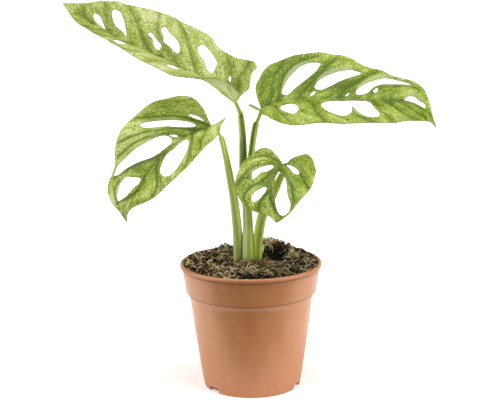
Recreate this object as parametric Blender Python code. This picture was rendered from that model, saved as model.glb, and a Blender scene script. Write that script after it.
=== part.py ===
# Swiss cheese vine, Monstera adansonii, four leaves on channelled stalks, in a 12 cm nursery pot.
# Metres, +Z up, standing on Z = 0 with the pot's axis on the Z axis. The front of the plant faces -Y.
# Every size below is in millimetres; add_object() turns them to metres.

import math

import bmesh
import bpy
import numpy as np
from mathutils import Vector, noise
from mathutils.geometry import delaunay_2d_cdt

MM = 0.001
GAP = 0.3  # clearance kept between pieces that touch on the real plant

# Pot: moulded in one piece, with a straight-sided body, a shoulder, a collar and a rolled lip
POT_SIDES = 60
POT_HEIGHT = 107.0
POT_FOOT_RADIUS = 41.1
POT_SHOULDER_RADIUS = 51.7
POT_SHOULDER_Z = 76.0
POT_COLLAR_RADIUS = 55.2
POT_COLLAR_Z = 82.6
POT_NECK_RADIUS = 58.0
POT_LIP_RADIUS = 60.0
POT_LIP_TALL = 3.5
POT_WALL = 1.2
POT_FLOOR = 1.5
POT_BELLY = 0.5  # how far the body bulges past the straight line from foot to shoulder
NOTCH_ANGLES = (-142.0, -24.0, 97.0)  # degrees from +X, the three drainage arches in the foot
NOTCH_WIDTH = 14.0
NOTCH_TALL = 4.5
NOTCH_INNER_RADIUS = 26.0
DRAIN_HOLE_RADIUS = 3.5
DRAIN_HOLE_AT = 33.0

# Compost: fills the pot, domed at the stalks, with a clump behind them and a hollow to their right
SOIL_EDGE_Z = 104.0
SOIL_DOME = 2.6
SOIL_CLUMP = (22.0, 43.0, 11.0, 10.0)  # x, y, spread, height
SOIL_HOLLOW = (22.0, 20.0, 7.0, -5.0)
SOIL_LUMPS = ((9.0, 1.7), (4.2, 0.9))  # size and height of the crumbs
SOIL_RINGS = 13

# Crown: the short rootstock under the compost that the stalks grow from
CROWN_CENTRE = (-2.2, 5.0)
CROWN_PROFILE = ((12.5, 85.0), (13.0, 81.0), (10.5, 76.0), (11.0, 71.0), (8.5, 66.0), (9.0, 61.0), (6.0, 55.0))
CROWN_SIDES = 24

# Leaf blades
BLADE_THICKNESS = 0.7
EDGE_STEP = 4.2
GRID_STEP = 5.4
RIB_HALF_WIDTH = 1.6
RIB_DEPTH = 1.1
CHORD_SHARE = 0.8  # how far the blade's cross direction follows the line from base to tip
WAVE_LENGTH = 36.0  # of the waves at the margin, whose height is given 40 mm out from the midrib
WAVE_SWEEP = 0.45  # a wave runs this far towards the tip for each millimetre outwards

# Stalk sections
STALK_FLATNESS = 0.82
STALK_BACK_DEGREES = 120
STALK_BACK_POINTS = 9
STALK_FRONT_POINTS = 5
STALK_STEP = 6.0
STALK_FOOT_Z = 85.3
STALK_STRAIGHT_Z = 112.0
CHANNEL_OPEN_Z = 126.0
CHANNEL_DEPTH = 0.42

LEAF_GREEN = (0.30, 0.42, 0.09, 1.0)
STALK_GREEN = (0.36, 0.46, 0.12, 1.0)
TERRACOTTA = (0.60, 0.30, 0.17, 1.0)
COMPOST = (0.07, 0.045, 0.025, 1.0)
ROOTSTOCK = (0.30, 0.24, 0.12, 1.0)

# Each leaf: its midrib in the plant's frame, the way its upper face looks, and for each half the
# angle it rises from the midrib (station along the midrib, degrees), how much it curls per 10 mm of
# width, how high its waves are, its margin and its windows, both as (along the midrib, out from the
# midrib) on the flat leaf.
# A point given twice is a corner.
LEAVES = {
    "upper_left": {
        "midrib": ((-10.6, 11.5, 241.3), (-16.8, 14.5, 246.5), (-41.4, 21, 261.2), (-77.2, 29, 279),
                   (-120, 38, 298.5), (-156.4, 44, 323.2)),
        "faces": (0, 0, 1),
        "right": {
            "rise": ((0, 50), (7, 62), (14, 55), (30, 53), (60, 52), (106, 54), (130, 48), (147, 42), (162, 30)),
            "curl": -3,
            "wave": 1.0,
            "margin": ((-0.5, 7), (-1.5, 12), (-2.5, 17.5), (0, 23), (2.5, 28), (3.5, 33), (3, 38.5), (5.5, 40), (9, 39),
                       (14, 37.5), (21, 34.5), (30, 35), (38, 35.5), (43, 37.5), (47.5, 40), (54, 41), (60.5, 41.5),
                       (71, 43.5), (80.5, 42.8), (94, 40.8), (110, 41), (120, 37.5), (129, 34.7), (135.5, 35.7),
                       (147, 27.5), (154, 19.5), (162, 11)),
            "windows": (
                ((129, 2.5), (134.5, 3.3), (139.5, 4.2), (143.5, 6.7), (144.5, 10.8), (139, 10.6), (134, 6.8)),
                ((110.5, 5.8), (117, 8.7), (122.5, 10), (127.5, 13.7), (133, 20.4), (133.8, 25), (128.3, 25),
                 (121.2, 19), (115.2, 12.3)),
                ((79.7, 6), (84.2, 7), (90.7, 13.9), (95.5, 15.6), (94.4, 18.2), (92, 17.4), (87, 14.3), (80.6, 10.6)),
                ((64.5, 11), (74, 13.5), (80.7, 15.3), (83, 19.7), (88, 24.2), (87.4, 28.7), (80.7, 25.2), (73, 23), (67, 18.3)),
                ((31, 9.3), (36.7, 10.7), (41.6, 15.5), (49.3, 19.6), (53, 24.8), (51.5, 29.3), (47, 28.5), (39.7, 25.5),
                 (32.3, 20.6), (31.3, 14.5)),
                ((14, 11.7), (16.7, 13.8), (17.2, 16.8), (15, 15)),
            ),
        },
        "left": {
            "rise": ((-2, 42), (0, 38), (10, 34), (20, 29), (30, 17), (40, 11), (50, 6.5), (80, 3), (120, 2),
                     (140, -8), (155, -22)),
            "curl": -3,
            "wave": 0.4,
            "margin": ((-2, 6), (-2, 14), (0, 22), (5, 30), (10, 34), (20, 37.5), (30, 38.8), (40, 39.8), (50, 40.4),
                       (63.5, 39.5), (75, 37.2), (85, 34), (98, 29), (112, 23.5), (125.5, 18.8), (138.6, 14.7),
                       (150.6, 11.2), (161.5, 6)),
            "windows": (
                ((106.5, 3.5), (111, 3.5), (114.5, 8), (114, 15), (109, 17), (105, 11)),
                ((55, 8.5), (60, 7), (63.5, 13), (63, 20), (58, 22), (54, 16)),
            ),
        },
    },
    "upper_right": {
        "midrib": ((10, 12, 234), (17, 15, 238.5), (42.5, 20, 242), (82, 20, 241.5), (115, 14, 241),
                   (134, 8, 238), (147.5, 3, 229.5), (155.5, 0, 219.5)),
        "faces": (0, 0, 1),
        "right": {
            "rise": ((-10, 28), (-4, 12), (0, 3), (10, -6), (20, -13), (30, -15), (80, -14), (100, -15.5),
                     (120, -20), (140, -12), (150, -8)),
            "curl": -3,
            "wave": 0.4,
            "margin": ((-4, 4.5), (-10.5, 8), (-10.5, 8), (-7, 13), (-3, 19), (1.2, 26.1), (10, 36.2), (19.6, 40.8),
                       (28.8, 43.1), (38.6, 43.6), (48, 42.9), (56, 42.7), (65, 42.6), (75.6, 42.5), (85, 42.2),
                       (92.7, 41.2), (100.6, 39.4), (108.6, 36.6), (118, 33.3), (128.8, 28.8), (138.5, 22.4),
                       (145.8, 14.4), (151.5, 6.6)),
            "windows": (
                ((19.5, 11.3), (23.3, 8.6), (30.3, 8.4), (35.2, 18.2), (32.4, 26), (26.5, 22.3), (21.1, 16.7)),
                ((54.2, 10.7), (61.4, 4.9), (72.6, 3.9), (83.8, 3), (94, 5.2), (98.9, 16.1), (103.9, 24.8), (102.4, 30.2),
                 (93.8, 30), (86.8, 24.4), (80.3, 12.3), (80.3, 12.3), (79.6, 27.1), (75.8, 30.3), (66.7, 26.8),
                 (58.5, 20.3)),
            ),
        },
        "left": {
            "rise": ((-3, 66), (8, 67), (15, 64.5), (35, 63), (50, 64), (66, 57.5), (80, 49.5), (95, 41),
                     (110, 38), (125, 43), (140, 44), (158, 12)),
            "curl": -4,
            "wave": 1.2,
            "margin": ((-0.5, 4), (-2, 8.6), (-3.4, 15.5), (-3.7, 19.8), (-2.7, 24), (-0.3, 28), (2.3, 30.8), (6, 33.8),
                       (9.2, 36.8), (14.6, 39.3), (25.9, 42.3), (35, 42), (43.6, 44), (49.3, 46), (55.1, 47), (65.7, 45.2),
                       (74, 44.1), (84.7, 43.4), (92.7, 43), (98, 40.8), (108.7, 34.2), (118, 30.8), (125.5, 28.2),
                       (135, 25), (141.5, 21.5), (146.8, 16.6), (151.5, 8.5)),
            "windows": (
                ((20.4, 7.2), (23.6, 17.1), (29.4, 25.2), (36.8, 31.9), (43.8, 34.9), (50.7, 34.6), (47.6, 26.2),
                 (39.8, 17.9), (32.4, 11.4), (24.1, 4.9)),
                ((48.8, 8.6), (47.8, 11.1), (51, 16.8), (59.5, 23.1), (68.2, 27.7), (79.4, 32.8), (86.5, 32),
                 (78.8, 24.5), (68.9, 17.8), (60.3, 11.6), (52.8, 7.8)),
                ((83.4, 5.1), (82.8, 9.4), (88.3, 16.8), (96.9, 24), (107.6, 29.4), (117.8, 26.9), (128.8, 21.5),
                 (120.3, 21), (107.2, 20), (97.4, 14.6), (92.2, 7), (86.8, 4.5)),
                ((44.1, 2.6), (46.1, 5.6), (48.6, 6.4), (47.5, 3.6)),
                ((73.6, 2.6), (75.1, 5), (77.1, 6.2), (76.1, 3.5)),
                ((96.9, 8.4), (97.8, 12.1), (100.2, 13.9), (100.8, 11.2), (99.2, 7.6)),
                ((123.6, 2.6), (126, 7.7), (131.4, 10.6), (135.4, 9), (142, 9.3), (142.7, 4.8), (134.8, 3.4), (128.8, 2.7)),
            ),
        },
    },
    "mid_left": {
        "midrib": ((-30.9, -5, 224), (-51.2, -15.5, 216.7), (-68.8, -29, 205), (-79.8, -38, 193.6),
                   (-88, -48, 180.5), (-97.8, -56, 171), (-99.9, -59.5, 164.5), (-98.1, -60, 156)),
        "faces": (-0.1, -0.85, 0.5),
        "right": {
            "rise": ((0, 12), (119, 12)),
            "curl": -5.5,
            "wave": 1.3,
            "margin": ((-2, 5), (-6.3, 14), (-9.2, 26), (-7, 34.5), (-0.3, 42.5), (13, 44.5), (26, 44), (40, 43.8),
                       (55, 41), (66, 36.6), (75.5, 30.8), (80, 28), (92.6, 24.2), (101.4, 19.4), (108, 12.5), (112, 4.5)),
            "windows": (
                ((9.9, 5.5), (13.6, 5.6), (21.6, 10.7), (28.3, 17.5), (36.1, 23.6), (41, 28.7), (41, 33.8), (36.8, 32.9),
                 (31.1, 28.7), (23.8, 22.4), (17.8, 17.2), (11.7, 11)),
                ((1.5, 6.7), (3, 8.4), (5.9, 12.8), (7.2, 17.4), (4.9, 17.2), (1.7, 12.6)),
                ((34.8, 5.1), (37.8, 3), (45.2, 3), (56.9, 4.9), (67.9, 11.6), (78.9, 18), (88.2, 21), (90, 22.6),
                 (80.8, 25), (70.4, 22.9), (60.1, 20.5), (49.3, 17.2), (39.7, 14.2), (35, 10.8)),
                ((28.3, 5.1), (29.7, 4.1), (32.2, 6.7), (33.4, 9.4), (30.6, 8.2)),
                ((78.3, 3.6), (82.9, 2.8), (88.2, 4), (94.1, 3.6), (98.6, 3.4), (104.6, 6.7), (98.7, 10.8), (91.9, 14.3),
                 (84.3, 14.1), (80.9, 8.6)),
            ),
        },
        "left": {
            "rise": ((-9, 57), (0, 60), (5, 58), (10, 53), (20, 46), (40, 41), (60, 36), (80, 30), (100, 27)),
            "curl": -3,
            "wave": 1.3,
            "margin": ((-0.5, 5), (-2, 11), (-8.5, 15), (-8.5, 15), (-1, 20.8), (4, 26), (9.3, 30.4), (13, 32.9), (22.7, 35),
                       (38, 35.4), (52.7, 34.4), (65.8, 31.2), (79, 23.4), (95.3, 15.6), (105.6, 7.4)),
            "windows": (
                ((6, 2.8), (9, 2.6), (12, 4.5), (10, 5.8)),
                ((27.4, 5), (30.1, 11.2), (39.5, 20.5), (49.2, 24.5), (60.9, 26), (68, 22.3), (69, 17), (65.8, 11),
                 (57.2, 6.5), (47.6, 3), (41.7, 4.2), (32, 3)),
            ),
        },
    },
    "front": {
        "midrib": ((27.3, -15, 193.2), (19.9, -26, 187.6), (15.7, -40, 176.3), (16.6, -47, 167.9), (20.9, -56, 152.8)),
        "faces": (0.1, -0.85, 0.5),
        "right": {
            "rise": ((0, 16), (62, 16)),
            "curl": -10,
            "wave": 1.3,
            "margin": ((-6.4, 7.7), (-9.6, 12.5), (-10.2, 17.4), (-6.9, 22.4), (-2, 25.9), (10.4, 27.3), (19.4, 27.9),
                       (28.3, 28.5), (37.8, 27.6), (46.1, 25.5), (52.2, 21), (55.3, 14.4), (57, 6)),
            "windows": (
                ((6.3, 5.4), (8.1, 3.6), (14.9, 5.3), (18.1, 9.9), (24.3, 13), (27.5, 16.5), (26.8, 20.3), (21.6, 18.6),
                 (16.2, 14.6), (10.8, 10.4)),
                ((25.5, 21.7), (27.7, 22), (28, 23.5), (26.2, 23.3)),
                ((31, 2.9), (34.4, 2.9), (40.9, 7.5), (45.5, 12.3), (46.7, 16), (42.2, 15.6), (39.5, 13.6), (34.2, 7.8)),
            ),
        },
        "left": {
            "rise": ((0, 16), (62, 16)),
            "curl": -10,
            "wave": 1.3,
            "margin": ((-1.1, 3), (-5.6, 5.8), (-11, 12.1), (-13.8, 18.1), (-11.2, 22.7), (-4.5, 26.4), (4.6, 30.3),
                       (17, 33.6), (25, 33), (33, 30), (45.7, 20.5), (54.5, 12.6), (59.5, 5.3)),
            "windows": (
                ((12, 3.2), (16, 2.8), (21.4, 2.9), (29.9, 3.9), (41.8, 3.9), (47.8, 3.4), (53.6, 3.8), (55.8, 5.2),
                 (55.8, 8.2), (51.9, 12.6), (45.6, 15.5), (38.6, 14.8), (28.8, 13.6), (20.7, 11.3), (14, 6.5)),
                ((0.8, 3.8), (2.5, 4.6), (6, 9), (11, 14.5), (11.8, 18.3), (8.7, 18.5), (4, 13.7), (0.8, 7.3)),
            ),
        },
    },
}

# Each stalk: the points its middle passes through, its width at some heights, the height where the
# sheath's wings stop, the thickness of the joint above them, and the way its channel opens, in
# degrees from +X. It ends under the base of the leaf of the same name.
STALKS = {
    "upper_left": {
        "route": ((-2, 1.5, 112), (-2, 2, 125), (-1.9, 2.5, 134), (-2.3, 3, 150), (-4, 4, 168), (-5.2, 5.5, 185),
                  (-5.3, 7, 201.5), (-5.5, 8, 214), (-6.3, 9, 223), (-7.2, 10, 230.5), (-8.4, 10.5, 235), (-9.6, 11, 238.5)),
        "widths": ((112, 8.4), (125, 8.8), (134, 7.9), (150, 7.9), (168, 7.6), (185, 7.1), (201, 6.5), (214, 5.8),
                   (223, 5.3), (230, 4.9)),
        "sheath_top": 230.5,
        "joint": 3.8,
        "opens": -70,
    },
    "upper_right": {
        "route": ((-1.5, 9.5, 112), (-1.6, 10.5, 132), (-1.6, 11, 162), (-0.2, 11.5, 181), (1.8, 12, 197),
                  (2.8, 12, 204.7), (4.7, 12, 216.6), (6.3, 12, 223.3), (8.1, 12, 227.5), (9.3, 12, 231)),
        "widths": ((112, 7.2), (132, 7.4), (162, 6.6), (181, 5.6), (197, 5.1), (205, 4.8), (216, 4.6), (223, 4.4)),
        "sheath_top": 223.5,
        "joint": 3.2,
        "opens": -125,
    },
    "mid_left": {
        "route": ((-10.4, 4, 112), (-10.6, 3.5, 122), (-11.1, 2.5, 134), (-13.3, 1.5, 158), (-17, 0, 181.6),
                  (-19.9, -1, 198.7), (-22.7, -2, 211.5), (-24.9, -2.5, 217), (-28, -3, 221)),
        "widths": ((112, 7.6), (122, 8.2), (134, 7.9), (158, 7.7), (182, 6.4), (199, 5.4), (211, 5.0)),
        "sheath_top": 213.8,
        "joint": 2.8,
        "opens": -50,
    },
    "front": {
        "route": ((5.9, 1.5, 112), (6.4, 1.2, 125), (7.5, 0, 134), (10.3, -2, 147.5), (14.2, -3.7, 155.5),
                  (18.1, -5.5, 161.7), (23.9, -8.5, 174.4), (26.5, -10.3, 181.2), (27.6, -12, 187)),
        "widths": ((112, 6.4), (117, 6.6), (125, 7.2), (134, 7.6), (147, 6.6), (156, 6.0), (162, 5.6), (174, 4.6), (181, 4.2)),
        "sheath_top": 184.0,
        "joint": 2.6,
        "opens": -115,
    },
}


def clear_scene():
    for obj in list(bpy.data.objects):
        bpy.data.objects.remove(obj, do_unlink=True)


def make_material(name, colour, roughness):
    material = bpy.data.materials.new(name)
    material.use_nodes = True
    shader = material.node_tree.nodes["Principled BSDF"]
    shader.inputs["Base Color"].default_value = colour
    shader.inputs["Roughness"].default_value = roughness
    shader.inputs["Metallic"].default_value = 0.0
    material.diffuse_color = colour
    return material


def add_object(name, points, faces, material=None):
    """Makes a mesh object from points in millimetres."""
    mesh = bpy.data.meshes.new(name)
    mesh.from_pydata([tuple(float(c) * MM for c in p) for p in points], [], [tuple(f) for f in faces])
    mesh.validate()
    mesh.update()
    obj = bpy.data.objects.new(name, mesh)
    bpy.context.scene.collection.objects.link(obj)
    if material:
        mesh.materials.append(material)
    return obj


def apply_boolean(obj, cutter, operation):
    """Joins or cuts obj with cutter, keeps the result as obj's mesh and removes the cutter."""
    modifier = obj.modifiers.new("cut", "BOOLEAN")
    modifier.object = cutter
    modifier.operation = operation
    modifier.solver = "EXACT"
    graph = bpy.context.evaluated_depsgraph_get()
    result = bpy.data.meshes.new_from_object(obj.evaluated_get(graph))
    obj.modifiers.clear()
    obj.data = result
    bpy.data.objects.remove(cutter, do_unlink=True)


def smooth_curve(points, step, closed=False):
    """Points about every `step` along a centripetal Catmull-Rom curve through the given ones."""
    points = [np.asarray(p, float) for p in points]
    count = len(points)
    if closed:
        ring = [points[-1]] + points + points[:2]
    else:
        ring = [2 * points[0] - points[1]] + points + [2 * points[-1] - points[-2]]
    result = []
    for i in range(count if closed else count - 1):
        p0, p1, p2, p3 = ring[i:i + 4]
        t1 = math.sqrt(max(np.linalg.norm(p1 - p0), 1e-6))
        t2 = t1 + math.sqrt(max(np.linalg.norm(p2 - p1), 1e-6))
        t3 = t2 + math.sqrt(max(np.linalg.norm(p3 - p2), 1e-6))
        pieces = max(1, round(np.linalg.norm(p2 - p1) / step))
        for k in range(pieces):
            t = t1 + (t2 - t1) * k / pieces
            a1 = (p0 * (t1 - t) + p1 * t) / t1
            a2 = (p1 * (t2 - t) + p2 * (t - t1)) / (t2 - t1)
            a3 = (p2 * (t3 - t) + p3 * (t - t2)) / (t3 - t2)
            b1 = (a1 * (t2 - t) + a2 * t) / t2
            b2 = (a2 * (t3 - t) + a3 * (t - t1)) / (t3 - t1)
            result.append((b1 * (t2 - t) + b2 * (t - t1)) / (t2 - t1))
    if not closed:
        result.append(points[-1])
    return result


def cornered_curve(points, step, closed=False):
    """Like smooth_curve, but a point given twice in a row is a sharp corner."""
    corners = [i for i in range(len(points) - 1) if points[i] == points[i + 1]]
    if not corners:
        return smooth_curve(points, step, closed)
    if closed:
        turned = points[corners[0] + 1:] + points[:corners[0] + 1]
        return cornered_curve(turned, step)[:-1]
    first = smooth_curve(points[:corners[0] + 1], step)
    return first[:-1] + cornered_curve(points[corners[0] + 1:], step)


def weld(obj, distance):
    """Merges corners closer than `distance` that the cutting left behind."""
    mesh = bmesh.new()
    mesh.from_mesh(obj.data)
    bmesh.ops.triangulate(mesh, faces=mesh.faces)
    bmesh.ops.remove_doubles(mesh, verts=mesh.verts, dist=distance * MM)
    bmesh.ops.dissolve_degenerate(mesh, dist=distance * MM, edges=mesh.edges)
    mesh.to_mesh(obj.data)
    mesh.free()


def unit(vector):
    return vector / np.linalg.norm(vector, axis=-1, keepdims=True)


class Blade:
    """The leaf's middle surface: places a point of the flat leaf (s, v) in space."""

    def __init__(self, leaf):
        dense = np.array(smooth_curve(leaf["midrib"], 0.5))
        steps = np.linalg.norm(np.diff(dense, axis=0), axis=1)
        run = np.concatenate([[0], np.cumsum(steps)])
        self.length = float(run[-1])
        self.station = np.linspace(0, self.length, 400)
        self.rib = np.stack([np.interp(self.station, run, dense[:, k]) for k in range(3)], 1)
        chord = unit(self.rib[-1] - self.rib[0])
        local = unit(np.gradient(self.rib, self.station, axis=0))
        self.along = unit((1 - CHORD_SHARE) * local + CHORD_SHARE * chord)
        faces = unit(np.asarray(leaf["faces"], float))
        self.across = unit(np.cross(self.along, faces))
        self.up = np.cross(self.across, self.along)
        self.halves = (leaf["right"], leaf["left"])

    def rise(self, s, half):
        table = np.array(half["rise"], float)
        return np.radians(np.interp(s, table[:, 0], table[:, 1]))

    def point(self, s, v):
        """Positions for arrays of stations s and offsets v, v positive on the right half."""
        s, v = np.broadcast_arrays(np.asarray(s, float), np.asarray(v, float))
        held = np.clip(s, 0, self.length)
        rib, along, across, up = (
            np.stack([np.interp(held, self.station, field[:, k]) for k in range(3)], -1)
            for field in (self.rib, self.along, self.across, self.up)
        )
        width = np.abs(v)
        side = np.where(v >= 0, 1.0, -1.0)
        rise = np.where(v >= 0, self.rise(s, self.halves[0]), self.rise(s, self.halves[1]))
        curl = np.radians(np.where(v >= 0, self.halves[0]["curl"], self.halves[1]["curl"])) / 10
        out = (np.sin(rise + curl * width) - np.sin(rise)) / curl
        lift = (np.cos(rise) - np.cos(rise + curl * width)) / curl
        phase = 2 * math.pi * (s - WAVE_SWEEP * width) / WAVE_LENGTH
        wave = np.where(v >= 0, self.halves[0]["wave"], self.halves[1]["wave"])
        lift = lift + wave * (width / 40) ** 2 * np.sin(phase + 1.3 * side)
        return rib + (s - held)[..., None] * along + (side * out)[..., None] * across + lift[..., None] * up

    def normal(self, s, v):
        """Directions out of the upper face."""
        small = 0.6
        ds = self.point(np.asarray(s) + small, v) - self.point(np.asarray(s) - small, v)
        dv = self.point(s, np.asarray(v) + small) - self.point(s, np.asarray(v) - small)
        return unit(np.cross(dv, ds))


def signed_area(loop):
    return 0.5 * sum(a[0] * b[1] - b[0] * a[1] for a, b in zip(loop, loop[1:] + loop[:1]))


def flat_loops(leaf, length, step):
    """The margin and each window of the flat leaf as closed lists of (s, v)."""
    margins = {}
    windows = []
    for half, side in (("right", 1), ("left", -1)):
        run = [(0.0, 0.0)] + [(s, side * v) for s, v in leaf[half]["margin"]] + [(length, 0.0)]
        margins[half] = cornered_curve(run, step)
        for window in leaf[half]["windows"]:
            windows.append(cornered_curve([(s, side * v) for s, v in window], step, closed=True))
    margin = list(margins["right"]) + list(margins["left"])[-2:0:-1]
    return [(float(s), float(v)) for s, v in margin], [[(float(s), float(v)) for s, v in w] for w in windows]


def inside(point, loop):
    x, y = point
    hit = False
    for (x1, y1), (x2, y2) in zip(loop, loop[1:] + loop[:1]):
        if (y1 > y) != (y2 > y) and x < (x2 - x1) * (y - y1) / (y2 - y1) + x1:
            hit = not hit
    return hit


def distance_to_loops(points, loops):
    """The least distance from each point to any edge of the loops."""
    least = np.full(len(points), 1e9)
    for loop in loops:
        a = np.array(loop)
        ab = np.roll(a, -1, axis=0) - a
        for i, p in enumerate(points):
            t = np.clip(((p - a) * ab).sum(1) / np.maximum((ab * ab).sum(1), 1e-9), 0, 1)
            least[i] = min(least[i], np.linalg.norm(a + ab * t[:, None] - p, axis=1).min())
    return least


def flat_triangles(margin, windows, length):
    """Splits the flat leaf into triangles, with lines of points kept along the midrib and its sides."""
    loops = [margin] + windows
    points = []
    edges = []
    for loop in loops:
        first = len(points)
        points += loop
        edges += [(first + i, first + (i + 1) % len(loop)) for i in range(len(loop))]
    rows = []
    stations = np.arange(GRID_STEP, length - 4, GRID_STEP * 0.9)
    for offset in (0.0, RIB_HALF_WIDTH, -RIB_HALF_WIDTH):
        row = [(s, offset) for s in stations]
        room = distance_to_loops(np.array(row), loops)
        rows.append([p for p, r in zip(row, room) if r > 0.6 and inside(p, margin)])
    for row in rows:
        first = len(points)
        points += row
        edges += [(first + i, first + i + 1) for i in range(len(row) - 1)]
    reach = max(abs(v) for s, v in margin)
    field = []
    for j, v in enumerate(np.arange(RIB_HALF_WIDTH + GRID_STEP * 0.8, reach, GRID_STEP * 0.87)):
        for s in np.arange(-20, length, GRID_STEP):
            shifted = s + (j % 2) * GRID_STEP / 2
            field += [(shifted, v), (shifted, -v)]
    field = [p for p in field if inside(p, margin) and not any(inside(p, w) for w in windows)]
    room = distance_to_loops(np.array(field), loops)
    points += [p for p, r in zip(field, room) if r > GRID_STEP * 0.42]
    flat, _, triangles, _, _, _ = delaunay_2d_cdt([Vector(p) for p in points], edges, [], 0, 1e-4)
    flat = [(p.x, p.y) for p in flat]
    kept = []
    for tri in triangles:
        middle = tuple(sum(flat[i][k] for i in tri) / 3 for k in range(2))
        if inside(middle, margin) and not any(inside(middle, w) for w in windows):
            kept.append(tuple(tri))
    return flat, kept


def rib_depth(s, v, length):
    """How far the midrib stands out under the blade."""
    along = np.clip(1 - np.asarray(s) / length, 0, 1)
    across = np.clip(1 - np.abs(v) / RIB_HALF_WIDTH, 0, 1)
    return RIB_DEPTH * across * (0.25 + 0.75 * along)


def build_blade(name, leaf, material):
    blade = Blade(leaf)
    margin, windows = flat_loops(leaf, blade.length, EDGE_STEP)
    flat, triangles = flat_triangles(margin, windows, blade.length)
    used = sorted({i for tri in triangles for i in tri})
    renumber = {old: new for new, old in enumerate(used)}
    triangles = [tuple(renumber[i] for i in tri) for tri in triangles]
    s = np.array([flat[i][0] for i in used])
    v = np.array([flat[i][1] for i in used])
    middle = blade.point(s, v)
    normal = blade.normal(s, v)
    half = BLADE_THICKNESS / 2
    top = middle + normal * half
    under = middle - normal * (half + rib_depth(s, v, blade.length))[:, None]
    count = len(used)
    upward = [tri if signed_area([(s[i], v[i]) for i in tri]) < 0 else tri[::-1] for tri in triangles]
    faces = list(upward)
    faces += [tuple(i + count for i in reversed(tri)) for tri in upward]
    directed = {(tri[k], tri[(k + 1) % 3]) for tri in upward for k in range(3)}
    for a, b in sorted(directed):
        if (b, a) not in directed:
            faces.append((b, a, a + count))
            faces.append((b, a + count, b + count))
    add_object(name, np.vstack([top, under]), faces, material)


def stalk_section(width, channel, grow=0.0):
    """Points round a stalk: a rounded back, and a front that sinks to a channel as `channel` goes to 1.
    Each is (sideways, forwards)."""
    a = width / 2 + grow
    b = width / 2 * STALK_FLATNESS + grow
    limit = math.radians(STALK_BACK_DEGREES)
    section = []
    for i in range(STALK_BACK_POINTS):
        angle = -limit + 2 * limit * i / (STALK_BACK_POINTS - 1)
        section.append((a * math.sin(angle), -b * math.cos(angle)))
    edge = a * math.sin(limit)
    tip = -b * math.cos(limit)
    for i in range(1, STALK_FRONT_POINTS + 1):
        side = edge * (1 - 2 * i / (STALK_FRONT_POINTS + 1))
        closed_front = b * math.sqrt(1 - (side / a) ** 2)
        sunk_front = tip - 2 * b * CHANNEL_DEPTH * (1 - (side / edge) ** 2)
        section.append((side, closed_front * (1 - channel) + sunk_front * channel))
    return section


def stalk_rings(stalk, base, normal):
    """Rings of points from the stalk's foot to a plane just under the base of its leaf."""
    foot = stalk["route"][0]
    route = [np.array(p, float) for p in stalk["route"] if np.linalg.norm(np.array(p) - base) > 5]
    heading = unit(base - route[-1])
    end = base - heading * (BLADE_THICKNESS / 2 + RIB_DEPTH + GAP) / np.dot(heading, normal)
    route = smooth_curve(route + [end], 0.5)
    opens = np.array([math.cos(math.radians(stalk["opens"])), math.sin(math.radians(stalk["opens"])), 0])
    widths = np.array(stalk["widths"], float)
    route = np.array(route)
    run = np.concatenate([[0], np.cumsum(np.linalg.norm(np.diff(route, axis=0), axis=1))])
    sheath_top = float(np.interp(stalk["sheath_top"], route[:, 2], run))
    stops = list(np.arange(0, sheath_top - 2, STALK_STEP)) + [sheath_top - 1, sheath_top + 0.7]
    rest = run[-1] - sheath_top - 0.7
    pieces = max(2, round(rest / 2.5))
    stops += [sheath_top + 0.7 + rest * (i + 1) / pieces for i in range(pieces)]
    rings = [[(foot[0] + u * opens[1] + w * opens[0], foot[1] - u * opens[0] + w * opens[1], STALK_FOOT_Z)
              for u, w in stalk_section(widths[0][1], 0)]]
    for stop in stops:
        centre = np.array([np.interp(stop, run, route[:, k]) for k in range(3)])
        ahead = np.array([np.interp(min(stop + 1, run[-1]), run, route[:, k]) for k in range(3)])
        behind = np.array([np.interp(max(stop - 1, 0), run, route[:, k]) for k in range(3)])
        along = np.array([0, 0, 1.0]) if stop == 0 else unit(ahead - behind)
        forward = unit(opens - np.dot(opens, along) * along)
        sideways = np.cross(forward, along)
        if stop <= sheath_top - 1:
            width = float(np.interp(centre[2], widths[:, 0], widths[:, 1]))
            channel = float(np.clip((centre[2] - STALK_STRAIGHT_Z) / (CHANNEL_OPEN_Z - STALK_STRAIGHT_Z), 0, 1))
        else:
            width = stalk["joint"]
            channel = 0.0
        ring = [centre + u * sideways + w * forward for u, w in stalk_section(width, channel)]
        if stop == stops[-1]:
            ring = [p + along * (np.dot(end - p, normal) / np.dot(along, normal)) for p in ring]
        rings.append(ring)
    return rings


def skin_rings(rings):
    """Faces round a stack of equal rings, with fans over both ends."""
    size = len(rings[0])
    points = [tuple(p) for ring in rings for p in ring]
    faces = []
    for r in range(len(rings) - 1):
        for i in range(size):
            j = (i + 1) % size
            a, b = r * size + i, r * size + j
            c, d = a + size, b + size
            faces += [(a, b, d), (a, d, c)]
    for ring, last in ((0, False), (len(rings) - 1, True)):
        points.append(tuple(np.mean(np.array(rings[ring]), axis=0)))
        hub = len(points) - 1
        for i in range(size):
            a, b = ring * size + i, ring * size + (i + 1) % size
            faces.append((a, b, hub) if last else (b, a, hub))
    return points, faces


def build_stalk(name, stalk, leaf, material):
    blade = Blade(leaf)
    points, faces = skin_rings(stalk_rings(stalk, blade.point(1.0, 0.0), blade.up[0]))
    return add_object(name, points, faces, material)


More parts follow.
